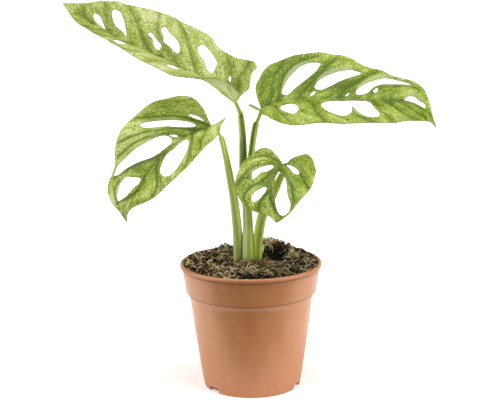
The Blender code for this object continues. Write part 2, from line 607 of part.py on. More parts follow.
def turned_solid(name, profile, sides, centre=(0.0, 0.0), material=None):
    """A solid of revolution about a vertical axis. The profile goes up the outside from the axis
    and closes back on it; a point on the axis has radius 0."""
    points = []
    rows = []
    for radius, z in profile:
        if radius == 0:
            rows.append([len(points)] * sides)
            points.append((centre[0], centre[1], z))
            continue
        rows.append(list(range(len(points), len(points) + sides)))
        for i in range(sides):
            angle = 2 * math.pi * i / sides
            points.append((centre[0] + radius * math.cos(angle), centre[1] + radius * math.sin(angle), z))
    faces = []
    for low, high in zip(rows, rows[1:]):
        for i in range(sides):
            j = (i + 1) % sides
            quad = [low[i], low[j], high[j], high[i]]
            corners = [c for k, c in enumerate(quad) if c != quad[k - 1]]
            if len(corners) > 2:
                faces.append(corners)
    return add_object(name, points, faces, material)


def pot_body_profile():
    """The outside from foot to shoulder, as (radius, z)."""
    profile = []
    for z in (0.0, 20.0, 40.0, 58.0, POT_SHOULDER_Z - 2):
        share = z / POT_SHOULDER_Z
        straight = POT_FOOT_RADIUS + (POT_SHOULDER_RADIUS - POT_FOOT_RADIUS) * share
        profile.append((straight + 4 * POT_BELLY * share * (1 - share), z))
    return profile


def pot_inside_profile(shrink=0.0):
    """The inside wall from floor to lip, as (radius, z), moved inwards by `shrink`."""
    wall = POT_WALL + shrink
    profile = [(r - wall, max(z, POT_FLOOR + shrink)) for r, z in pot_body_profile()]
    profile.append((POT_SHOULDER_RADIUS - wall, POT_SHOULDER_Z + 1))
    profile.append((POT_COLLAR_RADIUS - wall, POT_COLLAR_Z + 1.2))
    profile.append((POT_NECK_RADIUS - wall, POT_HEIGHT - POT_LIP_TALL))
    return profile


def prism(name, outline, low, high):
    """A vertical prism. The outline is (x, y) points, or pairs for a low and a high outline."""
    points = [(x, y, low) for x, y in outline[0]] + [(x, y, high) for x, y in outline[1]]
    size = len(outline[0])
    faces = [tuple(range(size))[::-1], tuple(range(size, 2 * size))]
    faces += [(i, (i + 1) % size, size + (i + 1) % size, size + i) for i in range(size)]
    return add_object(name, points, faces)


def turned_outline(outline, degrees):
    c, s = math.cos(math.radians(degrees)), math.sin(math.radians(degrees))
    return [(x * c - y * s, x * s + y * c) for x, y in outline]


def arch_pad(degrees, grow, low, high, low_radius, high_radius):
    """The raised piece of floor over one drainage arch, reaching into the wall."""
    half = NOTCH_WIDTH / 2 + POT_WALL + grow
    rings = []
    for radius in (low_radius, high_radius):
        outline = [(NOTCH_INNER_RADIUS - POT_WALL - grow, -half)]
        reach = math.asin(half / radius)
        outline += [(radius * math.cos(reach * k), radius * math.sin(reach * k)) for k in (-1, -0.5, 0, 0.5, 1)]
        outline.append((NOTCH_INNER_RADIUS - POT_WALL - grow, half))
        rings.append(turned_outline(outline, degrees))
    return prism("pad", rings, low, high)


def build_pot(material):
    inside_wall = pot_inside_profile()
    outside = pot_body_profile()
    outside += [
        (POT_SHOULDER_RADIUS, POT_SHOULDER_Z),
        (POT_COLLAR_RADIUS, POT_COLLAR_Z),
        (POT_NECK_RADIUS, POT_HEIGHT - POT_LIP_TALL - 0.6),
        (POT_LIP_RADIUS - 0.5, POT_HEIGHT - POT_LIP_TALL),
        (POT_LIP_RADIUS, POT_HEIGHT - POT_LIP_TALL + 0.8),
        (POT_LIP_RADIUS, POT_HEIGHT - 0.8),
        (POT_LIP_RADIUS - 0.8, POT_HEIGHT),
        (POT_NECK_RADIUS - POT_WALL + 0.6, POT_HEIGHT),
        (POT_NECK_RADIUS - POT_WALL, POT_HEIGHT - 0.8),
    ]
    profile = [(0, 0)] + outside + inside_wall[::-1] + [(0, POT_FLOOR)]
    pot = turned_solid("pot", profile, POT_SIDES, material=material)
    roof = NOTCH_TALL + POT_WALL
    for degrees in NOTCH_ANGLES:
        low_radius = POT_FOOT_RADIUS - POT_WALL / 2
        high_radius = low_radius + roof * (POT_SHOULDER_RADIUS - POT_FOOT_RADIUS) / POT_SHOULDER_Z + 0.1
        apply_boolean(pot, arch_pad(degrees, 0, 0.4, roof, low_radius, high_radius), "UNION")
    for degrees in NOTCH_ANGLES:
        outer = POT_FOOT_RADIUS + 6
        half = NOTCH_WIDTH / 2
        low = [(NOTCH_INNER_RADIUS, -half), (outer, -half), (outer, half), (NOTCH_INNER_RADIUS, half)]
        high = [(x + (1.5 if x < outer else 0), y * 0.78) for x, y in low]
        cutter = prism("arch", [turned_outline(low, degrees), turned_outline(high, degrees)], -1e-3, NOTCH_TALL)
        cutter.location.z = -1e-6
        apply_boolean(pot, cutter, "DIFFERENCE")
        x, y = turned_outline([(DRAIN_HOLE_AT, 0)], degrees)[0]
        hole = turned_solid("hole", [(0, 2), (DRAIN_HOLE_RADIUS, 2), (DRAIN_HOLE_RADIUS, 9), (0, 9)], 16, (x, y))
        apply_boolean(pot, hole, "DIFFERENCE")


def soil_height(x, y):
    """The height of the compost's surface."""
    radius = math.hypot(x, y)
    edge = POT_NECK_RADIUS - POT_WALL
    z = SOIL_EDGE_Z + SOIL_DOME * (1 - (radius / edge) ** 2)
    for cx, cy, spread, height in (SOIL_CLUMP, SOIL_HOLLOW):
        z += height * math.exp(-((x - cx) ** 2 + (y - cy) ** 2) / (2 * spread ** 2))
    fade = min(1.0, (edge - radius) / 6)
    for size, height in SOIL_LUMPS:
        z += height * fade * noise.noise(Vector((x / size, y / size, size)))
    return z


def build_soil(material, stalk_objects):
    wall = pot_inside_profile(GAP)[:-1]
    edge = POT_NECK_RADIUS - POT_WALL - GAP
    profile = [(0, POT_FLOOR + GAP)] + wall + [(edge, SOIL_EDGE_Z)]
    profile += [(edge * k / SOIL_RINGS, SOIL_EDGE_Z) for k in range(SOIL_RINGS - 1, 0, -1)] + [(0, SOIL_EDGE_Z)]
    soil = turned_solid("soil", profile, POT_SIDES, material=material)
    for vertex in soil.data.vertices:
        x, y, z = (c / MM for c in vertex.co)
        if z > SOIL_EDGE_Z - 0.01 and math.hypot(x, y) < edge - 1:
            vertex.co.z = soil_height(x, y) * MM
    for degrees in NOTCH_ANGLES:
        roof = NOTCH_TALL + POT_WALL + GAP
        apply_boolean(soil, arch_pad(degrees, GAP, 0.4, roof, POT_FOOT_RADIUS + 2, POT_FOOT_RADIUS + 2), "DIFFERENCE")
    cavity = [(r + GAP, z) for r, z in CROWN_PROFILE]
    cavity = [(0, CROWN_PROFILE[-1][1] - GAP)] + cavity[::-1] + [(0, CROWN_PROFILE[0][1] + GAP)]
    cavity[-2] = (cavity[-2][0], CROWN_PROFILE[0][1] + GAP)
    apply_boolean(soil, turned_solid("cavity", cavity, CROWN_SIDES, CROWN_CENTRE), "DIFFERENCE")
    for stalk in STALKS.values():
        foot = stalk["route"][0]
        outline = turned_outline(stalk_section(stalk["widths"][0][1], 0, GAP), stalk["opens"] - 90)
        outline = [(foot[0] + x, foot[1] + y) for x, y in outline]
        cutter = prism("hole", [outline, outline], CROWN_PROFILE[0][1] - 1, POT_HEIGHT + 20)
        apply_boolean(soil, cutter, "DIFFERENCE")
    weld(soil, 0.06)


def build_crown(material):
    profile = [(0, CROWN_PROFILE[-1][1])] + list(CROWN_PROFILE[::-1]) + [(0, CROWN_PROFILE[0][1])]
    turned_solid("crown", profile, CROWN_SIDES, CROWN_CENTRE, material)


def main():
    clear_scene()
    build_pot(make_material("moulded terracotta plastic", TERRACOTTA, 0.4))
    build_crown(make_material("rootstock", ROOTSTOCK, 0.7))
    stalk_material = make_material("leaf stalk", STALK_GREEN, 0.4)
    stalks = [build_stalk("stalk_" + name, STALKS[name], LEAVES[name], stalk_material) for name in STALKS]
    build_soil(make_material("peat compost", COMPOST, 0.9), stalks)
    for name, leaf in LEAVES.items():
        build_blade("leaf_" + name, leaf, make_material("leaf " + name.replace("_", " "), LEAF_GREEN, 0.45))


if __name__ == "__main__":
    main()
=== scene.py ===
# %% [markdown]
# # A Swiss cheese vine in its nursery pot
#
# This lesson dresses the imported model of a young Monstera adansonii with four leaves.
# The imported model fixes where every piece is. Here each of its plain solids is replaced by a
# finer piece in the same place, and each piece gets a material that is worked out from what
# the real thing is made of. Lengths are thought out in millimetres and turned to metres once.

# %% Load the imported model
import math
import random

import bpy
import numpy as np
from mathutils import Matrix, Vector, noise
from mathutils.geometry import delaunay_2d_cdt


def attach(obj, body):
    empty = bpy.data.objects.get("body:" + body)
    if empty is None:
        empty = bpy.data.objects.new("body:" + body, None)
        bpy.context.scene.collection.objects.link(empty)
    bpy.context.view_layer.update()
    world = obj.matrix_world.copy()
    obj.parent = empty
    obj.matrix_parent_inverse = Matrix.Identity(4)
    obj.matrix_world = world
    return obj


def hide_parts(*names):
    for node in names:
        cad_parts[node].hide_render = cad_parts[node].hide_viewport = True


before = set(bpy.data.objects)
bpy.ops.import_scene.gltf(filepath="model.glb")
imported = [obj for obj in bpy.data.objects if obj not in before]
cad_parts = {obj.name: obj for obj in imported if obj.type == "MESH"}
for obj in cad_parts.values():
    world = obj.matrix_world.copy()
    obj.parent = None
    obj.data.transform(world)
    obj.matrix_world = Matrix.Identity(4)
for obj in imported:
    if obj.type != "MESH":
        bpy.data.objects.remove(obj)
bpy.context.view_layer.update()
MM = 0.001
print("nodes:", sorted(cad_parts))

# %% [markdown]
# ## Small tools
#
# An operator works on everything that is selected, and the loaded model arrives selected, so
# each piece starts by letting go of all of it. Edit mode is entered with the whole mesh picked
# or none of it. A closed mesh leaves it with its faces turned outwards.

# %% Selecting, edit mode and modifiers
def let_go():
    """Leaves edit mode and selects nothing."""
    if bpy.context.object and bpy.context.object.mode != "OBJECT":
        bpy.ops.object.mode_set(mode="OBJECT")
    bpy.ops.object.select_all(action="DESELECT")


def pick(piece):
    """Makes one object the only selected and active one."""
    let_go()
    piece.select_set(True)
    bpy.context.view_layer.objects.active = piece


def edit(action, kind=None):
    """Enters edit mode, to pick VERT, EDGE or FACE, and selects or deselects the whole mesh."""
    bpy.ops.object.mode_set(mode="EDIT")
    if kind:
        bpy.ops.mesh.select_mode(type=kind)
    bpy.ops.mesh.select_all(action=action)


def turn_outwards():
    """Turns all faces of the closed mesh outwards and leaves edit mode."""
    bpy.ops.mesh.select_all(action="SELECT")
    bpy.ops.mesh.normals_make_consistent(inside=False)
    bpy.ops.object.mode_set(mode="OBJECT")


def apply_modifier(piece, kind, **settings):
    """Adds a modifier to a piece and applies it."""
    pick(piece)
    modifier = piece.modifiers.new(kind.lower(), kind)
    for name, value in settings.items():
        setattr(modifier, name, value)
    bpy.ops.object.modifier_apply(modifier=modifier.name)


def soften(piece, degrees):
    """Shades a piece smooth, apart from edges sharper than an angle."""
    pick(piece)
    bpy.ops.object.shade_smooth_by_angle(angle=math.radians(degrees))


# %% Data, attributes and shares
def add_object(name, data):
    """Puts new data in the scene as an object."""
    made = bpy.data.objects.new(name, data)
    bpy.context.scene.collection.objects.link(made)
    return made


def paint(mesh, name, values):
    """Stores a number for every point of a mesh, which a material can read by its name."""
    mesh.attributes.new(name, "FLOAT", "POINT").data.foreach_set("value", np.asarray(values, np.float32))


def limit(value):
    """Keeps a share, or each of many, between 0 and 1."""
    return np.clip(value, 0, 1)


def bell(away, wide):
    """1 on a line and less and less beside it."""
    return np.exp(-(away / wide) ** 2)


# %% [markdown]
# A colour is written as on a paint card and turned to the linear numbers that the renderer
# wants. One function adds a node to a material. Its inputs are written beside it: a number, a
# colour, or the node that it reads.

# %% Colours and nodes
def colour(code):
    """An sRGB hex code, or a plain grey share, as linear red, green, blue and alpha."""
    if not isinstance(code, str):
        return [code, code, code, 1.0]
    parts = [int(code[i:i + 2], 16) / 255 for i in (1, 3, 5)]
    return [c / 12.92 if c <= 0.04045 else ((c + 0.055) / 1.055) ** 2.4 for c in parts] + [1.0]


def feed(node, inputs):
    """Sets a node's inputs, by name or number, to values, hex colours, sockets or other nodes."""
    for name, value in inputs.items():
        if isinstance(value, bpy.types.Node):
            value = next(output for output in value.outputs if output.enabled)
        if isinstance(value, bpy.types.NodeSocket):
            node.id_data.links.new(value, node.inputs[name])
        else:
            node.inputs[name].default_value = colour(value) if isinstance(value, str) else value


def add_node(tree, kind, inputs=None, **settings):
    """Adds a shader node with its settings and inputs."""
    made = tree.nodes.new("ShaderNode" + kind)
    for name, value in settings.items():
        setattr(made, name, value)
    feed(made, inputs or {})
    return made


def fill_ramp(ramp, stops):
    """Gives a colour ramp its stops: (place from 0 to 1, hex colour or grey share) pairs."""
    elements = ramp.color_ramp.elements
    for element, (place, tone) in zip(elements, (stops[0], stops[-1])):
        element.position = place
        element.color = colour(tone)
    for place, tone in stops[1:-1]:
        elements.new(place).color = colour(tone)


def new_material(name, roughness, ior=1.45, specular=0.5):
    """A material, its node tree and its one Principled shader."""
    material = bpy.data.materials.new(name)
    material.use_nodes = True
    shader = material.node_tree.nodes["Principled BSDF"]
    feed(shader, {"Roughness": roughness, "IOR": ior, "Specular IOR Level": specular})
    return material, material.node_tree, shader


# %% [markdown]
# ## The camera
#
# The view was worked out from the pot: its rim and foot are circles, and how flat they look
# gives the camera's height and tilt. The picture is 500 by 400. A 90 mm lens from about a
# metre away fits, which is what a product photographer would use to keep the leaves straight.

# %% Camera
CAMERA_PLACE = (0.0, -1026.2, 372.3)
LOOKING_DOWN = 11.685
CAMERA_ROLL = -0.764

camera_data = bpy.data.cameras.new("camera")
camera_data.lens = 90
camera_data.sensor_width = 36
camera = add_object("camera", camera_data)
tilt = Matrix.Rotation(math.radians(90 - LOOKING_DOWN), 4, "X")
roll = Matrix.Rotation(math.radians(CAMERA_ROLL), 4, "Z")
camera.matrix_world = Matrix.Translation(Vector(CAMERA_PLACE) * MM) @ tilt @ roll
bpy.context.scene.camera = camera
bpy.context.scene.view_settings.view_transform = "Standard"
print("camera at", [round(c, 3) for c in camera.matrix_world.translation])

# %% [markdown]
# ## Floor
#
# The plant was photographed on pure white. A sheet of white paper with a painted glow does that: its material
# emits light, though no lamp lies under it, so that it keeps only a trace of shadow. The painted glow is
# weaker round the pot, which it would otherwise light from below. The sheet curves up behind the plant and
# ends just in front of the pot, because the pot shows a dark room between two bright sides. It is a plane
# with its back edge pulled up and the fold rounded.

# %% Glowing paper sweep
PAPER_FRONT, PAPER_BACK = -0.085, 2.2
PAPER_WIDE = 3.6
PAPER_RISE = 0.6
GLOW_NEAR, GLOW_FAR = 0.46, 1.0

let_go()
bpy.ops.mesh.primitive_plane_add(size=1, location=(0, (PAPER_FRONT + PAPER_BACK) / 2, 0))
paper = bpy.context.object
paper.name = "paper_sweep"
paper.scale = (PAPER_WIDE, PAPER_BACK - PAPER_FRONT, 1)
bpy.ops.object.transform_apply(location=True, scale=True)
edit("DESELECT", "EDGE")
bpy.ops.object.mode_set(mode="OBJECT")
for edge in paper.data.edges:
    edge.select = all(paper.data.vertices[i].co.y > PAPER_BACK - 0.1 for i in edge.vertices)
bpy.ops.object.mode_set(mode="EDIT")
bpy.ops.mesh.extrude_region_move(TRANSFORM_OT_translate={"value": (0, 0, PAPER_RISE)})
bpy.ops.object.mode_set(mode="OBJECT")
apply_modifier(paper, "BEVEL", width=PAPER_RISE, segments=24, limit_method="ANGLE")
soften(paper, 60)

# The paper's emission is a painted glow: it lights the plant and the pot, though it is no lamp.
glowing_paper, tree, shader = new_material("white paper with painted glow", 0.9)
place = add_node(tree, "TexCoord").outputs["Object"]
from_plant = add_node(tree, "VectorMath", {0: place}, operation="LENGTH")
glow = add_node(tree, "MapRange", {"Value": from_plant, "From Min": 0.1, "From Max": 0.6,
                                   "To Min": GLOW_NEAR, "To Max": GLOW_FAR})
feed(shader, {"Base Color": "#F4F4F3", "Emission Color": "#FFFFFF", "Emission Strength": glow})
paper.data.materials.append(glowing_paper)
print("paper:", len(paper.data.polygons), "faces")

# %% [markdown]
# ## Light
#
# Two large soft boxes stand left and right, the right one nearer the camera, and a third one
# hangs above. They are wide, so that the pot shows them as broad bands with soft ends and the
# leaves get no hard highlight. The room itself is nearly dark, which keeps the middle of the
# pot deep in colour.

# %% Soft boxes and room
SOFT_BOXES = (
    ("left soft box", (-1.33, -0.34, 0.5), (0, 0, 0.15), (1.5, 1.3), 18),
    ("right soft box", (1.22, -0.67, 0.5), (0, 0, 0.15), (1.5, 1.3), 22.5),
    ("top soft box", (0.0, -0.15, 1.5), (0, 0, 0.1), (1.2, 0.9), 14),
)
for name, place, aim, (wide, tall), watts in SOFT_BOXES:
    data = bpy.data.lights.new(name, "AREA")
    data.shape = "RECTANGLE"
    data.size = wide
    data.size_y = tall
    data.energy = watts
    lamp = add_object(name, data)
    lamp.location = place
    lamp.rotation_euler = (Vector(aim) - Vector(place)).to_track_quat("-Z", "Y").to_euler()
    print(name, "at", place, "with", watts, "W")

world = bpy.data.worlds.new("studio room")
bpy.context.scene.world = world
world.use_nodes = True
feed(world.node_tree.nodes["Background"], {"Color": "#FFFEFB", "Strength": 0.035})

# %% [markdown]
# ## The pot
#
# A nursery pot is moulded from polypropylene in one shot: a tapered body, a shoulder that
# stops one pot sinking into the next, a collar and a rolled lip. It could be turned from a
# profile with Spin. Here the foot is drawn as a disc and ring after ring is extruded from it
# and resized: up the outside, over the lip and down the inside, which closes the solid by
# itself. Raised pads over the three drainage arches are joined on, then the arches are cut.

# %% Extruding rings
def raise_rings(name, sides, profile):
    """A closed solid from (radius, z) rings in millimetres, extruded one from another."""
    let_go()
    radius, z = profile[0]
    bpy.ops.mesh.primitive_circle_add(vertices=sides, radius=radius * MM, fill_type="NGON",
                                      location=(0, 0, z * MM))
    piece = bpy.context.object
    piece.name = name
    bpy.ops.object.transform_apply(location=True)
    edit("SELECT")
    for (radius, z), (radius_before, z_before) in zip(profile[1:], profile):
        bpy.ops.mesh.extrude_region_move(TRANSFORM_OT_translate={"value": (0, 0, (z - z_before) * MM)})
        grow = radius / radius_before
        bpy.ops.transform.resize(value=(grow, grow, 1))
    turn_outwards()
    return piece


# %% The pot's profile, in millimetres
POT_HEIGHT = 107.0
POT_WALL = 1.2
POT_FLOOR = 1.5
FOOT_RADIUS = 41.1
SHOULDER_RADIUS, SHOULDER_Z = 51.7, 76.0
COLLAR_RADIUS = 55.2
NECK_RADIUS = 58.0
LIP_RADIUS = 60.0
BELLY = 0.5


def body_radius(z):
    """The pot's outer radius below the shoulder."""
    share = z / SHOULDER_Z
    return FOOT_RADIUS + (SHOULDER_RADIUS - FOOT_RADIUS) * share + 4 * BELLY * share * (1 - share)


outer_wall = [(FOOT_RADIUS - 1.0, 0), (FOOT_RADIUS - 0.3, 0.15), (FOOT_RADIUS + 0.05, 0.8)]
outer_wall += [(body_radius(z), z) for z in (4, 12, 20, 30, 40, 50, 60, 68, 73.5)]
outer_wall += [(SHOULDER_RADIUS + out, z) for out, z in (
    (-0.1, 75.6), (0.4, 77.4), (1.1, 79.2), (2.0, 80.9))]
outer_wall += [(COLLAR_RADIUS + out, z) for out, z in (
    (-0.8, 82.1), (-0.7, 82.5), (-0.1, 82.6), (0.1, 83.0), (0.2, 84.0), (0.7, 88.0))]
outer_wall += [(NECK_RADIUS + out, z) for out, z in (
    (-0.6, 97.0), (0, 102.2), (0.15, 103.0), (0.7, 103.5))]
outer_wall += [(LIP_RADIUS + out, z) for out, z in (
    (-0.4, 103.7), (-0.05, 104.1), (0, 104.9), (-0.05, 105.9), (-0.4, 106.6), (-1.0, POT_HEIGHT))]
inner_wall = [(NECK_RADIUS - within, z) for within, z in (
    (0.3, POT_HEIGHT), (0.9, 106.7), (1.2, 106.1), (1.3, 103))]
inner_wall += [(COLLAR_RADIUS - POT_WALL, 83.8), (SHOULDER_RADIUS - POT_WALL, 77)]
inner_wall += [(body_radius(z) - POT_WALL, z) for z in (60, 30)]
inner_wall += [(FOOT_RADIUS - 0.8, POT_FLOOR + 1.0), (FOOT_RADIUS - 1.6, POT_FLOOR)]
pot = raise_rings("nursery_pot", 144, outer_wall + inner_wall)
print("pot:", len(pot.data.polygons), "faces")

# %% Drainage arches and drain holes
ARCH_ANGLES = (-142.0, -24.0, 97.0)
ARCH_WIDE = 14.0
ARCH_TALL = 4.5
ARCH_INNER = 26.0
ARCH_NARROWS = 0.78
HOLE_RADIUS, HOLE_FROM_AXIS = 3.5, 33.0
PAD_HALF = ARCH_WIDE / 2 + POT_WALL
PAD_REACH = math.sqrt((FOOT_RADIUS + 0.1) ** 2 - PAD_HALF ** 2) - 0.3


def block(name, inner, outer, half, low, high, degrees, narrow=1.0):
    """A box that points outwards along an angle. Its top is narrower by a share."""
    let_go()
    bpy.ops.mesh.primitive_cube_add(size=1)
    piece = bpy.context.object
    piece.name = name
    for corner in piece.data.vertices:
        x, y, z = (c + 0.5 for c in corner.co)
        squeeze = narrow if z > 0.5 else 1.0
        corner.co = ((inner + (outer - inner) * x) * MM, (2 * y - 1) * half * squeeze * MM,
                     (low + (high - low) * z) * MM)
    piece.data.transform(Matrix.Rotation(math.radians(degrees), 4, "Z"))
    return piece


def combine(piece, tool, operation):
    """Joins or cuts a piece with another one, which is used up."""
    apply_modifier(piece, "BOOLEAN", object=tool, operation=operation, solver="EXACT")
    bpy.data.objects.remove(tool, do_unlink=True)


for degrees in ARCH_ANGLES:
    pad = block("pad", ARCH_INNER - POT_WALL, PAD_REACH, PAD_HALF, 0.6, ARCH_TALL + POT_WALL, degrees)
    combine(pot, pad, "UNION")
for degrees in ARCH_ANGLES:
    arch = block("arch", ARCH_INNER, FOOT_RADIUS + 8, ARCH_WIDE / 2, -1, ARCH_TALL, degrees, ARCH_NARROWS)
    combine(pot, arch, "DIFFERENCE")
    let_go()
    bpy.ops.mesh.primitive_cylinder_add(vertices=24, radius=HOLE_RADIUS * MM, depth=8 * MM)
    drill = bpy.context.object
    angle = math.radians(degrees)
    hole = (HOLE_FROM_AXIS * MM * math.cos(angle), HOLE_FROM_AXIS * MM * math.sin(angle), 5 * MM)
    drill.data.transform(Matrix.Translation(hole))
    combine(pot, drill, "DIFFERENCE")
apply_modifier(pot, "BEVEL", width=0.25 * MM, segments=2, limit_method="ANGLE", angle_limit=math.radians(50))
soften(pot, 35)
print("pot with arches:", len(pot.data.polygons), "faces")

# %% [markdown]
# ### Moulded polypropylene
#
# The plastic is coloured through and satin from the mould, so it shows the soft boxes as broad bands. The
# melt left it a little cloudy, with faint streaks down the wall along the draw of the mould. Handling makes
# its gloss uneven. A ramp over the height paints shade into the plastic: darker towards the bottom, in the
# groove under the collar, and on and under the lip. The ramp also takes the gloss away there.

# %% Terracotta polypropylene
# Painted shade by height, (z in mm, share): darker towards the bottom, in the groove under the collar, and on
# and under the lip.
PAINTED_SHADE_BY_HEIGHT = (
    (0.5, 0.45), (22.0, 0.3), (45.0, 0.1), (60.0, 0), (77.0, 0), (81.2, 0.05), (82.0, 0.75), (82.9, 0.75),
    (83.3, 0.05), (97.0, 0.05), (101.5, 0.2), (102.8, 0.8), (103.8, 0.75), (104.5, 0.35), (106.0, 0.2),
    (106.6, 0))
STREAK, CLOUD, FINGERPRINT, MOULD_GRAIN = 9 * MM, 28 * MM, 6 * MM, 1.1 * MM

terracotta, tree, shader = new_material("terracotta polypropylene, moulded", 0.36, 1.49, 0.7)
place = add_node(tree, "TexCoord").outputs["Object"]
down_wall = add_node(tree, "Mapping", {"Vector": place, "Scale": (1, 1, 0.12)})
streaks = add_node(tree, "TexNoise", {"Vector": down_wall, "Scale": 1 / STREAK, "Detail": 3.0})
clouds = add_node(tree, "TexNoise", {"Vector": place, "Scale": 1 / CLOUD, "Detail": 4.0})
both = add_node(tree, "Math", {0: streaks, 1: clouds}, operation="ADD")
tone = add_node(tree, "MapRange", {"Value": both, "From Min": 0.75, "From Max": 1.25})
plastic = add_node(tree, "Mix", {0: tone, 6: "#C07D4D", 7: "#C88958"}, data_type="RGBA")
height = add_node(tree, "SeparateXYZ", {0: place}).outputs["Z"]
up_pot = add_node(tree, "MapRange", {"Value": height, "From Max": POT_HEIGHT * MM})
painted_shade = add_node(tree, "ValToRGB", {0: up_pot})
fill_ramp(painted_shade, [(0, 0), *((z / POT_HEIGHT, share) for z, share in PAINTED_SHADE_BY_HEIGHT), (1, 0)])
# The ramp paints shade into the plastic's colour. Below, it also dulls the gloss.
varied = add_node(tree, "Mix", {0: painted_shade, 6: plastic, 7: "#8E5024"}, data_type="RGBA")
handled = add_node(tree, "TexNoise", {"Vector": place, "Scale": 1 / FINGERPRINT, "Detail": 6.0})
gloss = add_node(tree, "MapRange", {"Value": handled, "From Min": 0.3, "From Max": 0.7,
                                    "To Min": 0.29, "To Max": 0.4})
dull = add_node(tree, "Math", {0: painted_shade, 1: 0.35, 2: gloss}, operation="MULTIPLY_ADD")
grain = add_node(tree, "TexNoise", {"Vector": place, "Scale": 1 / MOULD_GRAIN, "Detail": 3.0})
bump = add_node(tree, "Bump", {"Height": grain, "Strength": 0.08, "Distance": 0.2 * MM})
feed(shader, {"Base Color": varied, "Roughness": dull, "Normal": bump})
pot.data.materials.append(terracotta)
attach(pot, "root")
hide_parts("pot")

# %% [markdown]
# ## The compost
#
# The vine stands in fibrous peat. Its surface is domed towards the stalks and banked against the rim behind
# and at the sides. Mounds lie behind and before the stalks, and a hollow lies at their right, which is wet
# and gets painted shade. It could be sculpted. Here the body is raised in rings like the pot, its top is
# inset ring by ring, and each point of the top is set to a height that a formula gives, so that fibres and
# crumbs can be laid on the same formula later.

# %% The surface's height, and its wetness and painted shade
SOIL_EDGE = NECK_RADIUS - POT_WALL
SOIL_EDGE_Z = 104.0
SOIL_DOME = 2.6
BANK_HEIGHT, BANK_FROM, BANK_WIDE, BANK_FADES = 2.6, 42, 12, 35
SOIL_MOUNDS = (
    (15.0, 50.0, 10.0, 6.5), (33.0, 41.0, 8.0, 2.8), (-1.0, -9.0, 7.0, 1.8),
    (-24.0, 50.0, 4.0, 2.0), (20.5, 19.0, 8.0, -10.5), (-34.0, 42.0, 6.0, -2.0))
SOIL_LUMPS = ((9.0, 2.4), (4.2, 1.3), (2.1, 1.2), (1.1, 0.6))
# Wet spots that also carry painted shade, the first one in the hollow: (x, y, wide, deep, share).
WET_AND_SHADED_SPOTS = ((21.0, 25.0, 8.5, 12.0, 1.8), (6.0, -46.0, 15.0, 6.0, 0.9), (-42.0, -26.0, 9.0, 7.0, 0.6))
WET_SHADE_SHARE, WET_SHADE_SWING, WET_SHADE_PATCH = 0.42, 1.4, 6.5


def soil_height(x, y):
    """The height in millimetres of the compost at a place."""
    radius = math.hypot(x, y)
    z = SOIL_EDGE_Z + SOIL_DOME * (1 - (radius / SOIL_EDGE) ** 2)
    z += BANK_HEIGHT * limit((radius - BANK_FROM) / BANK_WIDE) * limit(1 + y / BANK_FADES)
    for centre_x, centre_y, spread, height in SOIL_MOUNDS:
        z += height * math.exp(-((x - centre_x) ** 2 + (y - centre_y) ** 2) / (2 * spread ** 2))
    fade = min(1.0, (SOIL_EDGE - radius) / 5)
    for size, height in SOIL_LUMPS:
        z += height * fade * noise.noise(Vector((x / size, y / size, size)))
    return z


def wetness_and_shade(x, y):
    """How wet the compost is, with painted shade: 1 in the hollow and in the gaps, 0 on top."""
    wet_and_shade = WET_SHADE_SHARE - WET_SHADE_SWING * noise.noise(Vector((x / WET_SHADE_PATCH, y / WET_SHADE_PATCH, 3.3)))
    for centre_x, centre_y, wide, deep, share in WET_AND_SHADED_SPOTS:
        wet_and_shade += share * math.exp(-((x - centre_x) / wide) ** 2 / 2 - ((y - centre_y) / deep) ** 2 / 2)
    return limit(wet_and_shade)


# %% The body of compost
SOIL_RINGS = 30
SOIL_GAP = 0.3
SOIL_TOP_RADIUS = SOIL_EDGE - 0.45

wall = [(FOOT_RADIUS - 2.2, POT_FLOOR + SOIL_GAP)]
wall += [(body_radius(z) - POT_WALL - SOIL_GAP, z) for z in (8, 30, 60)]
wall += [(SHOULDER_RADIUS - 1.5, 77), (COLLAR_RADIUS - 1.5, 84), (SOIL_TOP_RADIUS, SOIL_EDGE_Z)]
compost = raise_rings("compost", 168, wall)
pick(compost)
edit("DESELECT", "FACE")
bpy.ops.object.mode_set(mode="OBJECT")
top_face = max(compost.data.polygons, key=lambda face: face.center.z + face.normal.z)
top_face.select = True
bpy.ops.object.mode_set(mode="EDIT")
for ring in range(SOIL_RINGS - 1):
    bpy.ops.mesh.inset(thickness=SOIL_TOP_RADIUS / SOIL_RINGS * MM)
bpy.ops.mesh.poke()
bpy.ops.object.mode_set(mode="OBJECT")
apply_modifier(compost, "TRIANGULATE")
for vertex in compost.data.vertices:
    x, y, z = (c / MM for c in vertex.co)
    if z > SOIL_EDGE_Z - 0.5 and math.hypot(x, y) < SOIL_EDGE:
        vertex.co.z = soil_height(x, y) * MM
# Each point stores its wetness and painted shade for the peat to darken by.
paint(compost.data, "wet_and_shade", [wetness_and_shade(v.co.x / MM, v.co.y / MM) for v in compost.data.vertices])
soften(compost, 80)
print("compost:", len(compost.data.polygons), "faces")

# %% [markdown]
# ### Peat
#
# Peat is rotted moss and root: nearly black in its gaps, brown where it is dry, and darker still where the
# surface is wet. It is also darkened by painted shade in the hollow and the gaps. It has no shine. The colour
# changes over a few millimetres, from crumb to crumb, and a strong bump makes the crumbs stand out of the
# smoother mesh.

# %% Damp peat
PEAT_CRUMB = 3.5 * MM

peat, tree, shader = new_material("damp peat", 0.95, specular=0.2)
place = add_node(tree, "TexCoord").outputs["Object"]
crumbly = add_node(tree, "TexNoise", {"Vector": place, "Scale": 1 / PEAT_CRUMB, "Detail": 6.0,
                                      "Roughness": 0.7})
dry = add_node(tree, "MapRange", {"Value": crumbly, "From Min": 0.4, "From Max": 0.68})
peat_colour = add_node(tree, "Mix", {0: dry, 6: "#17120C", 7: "#4E3C28"}, data_type="RGBA")
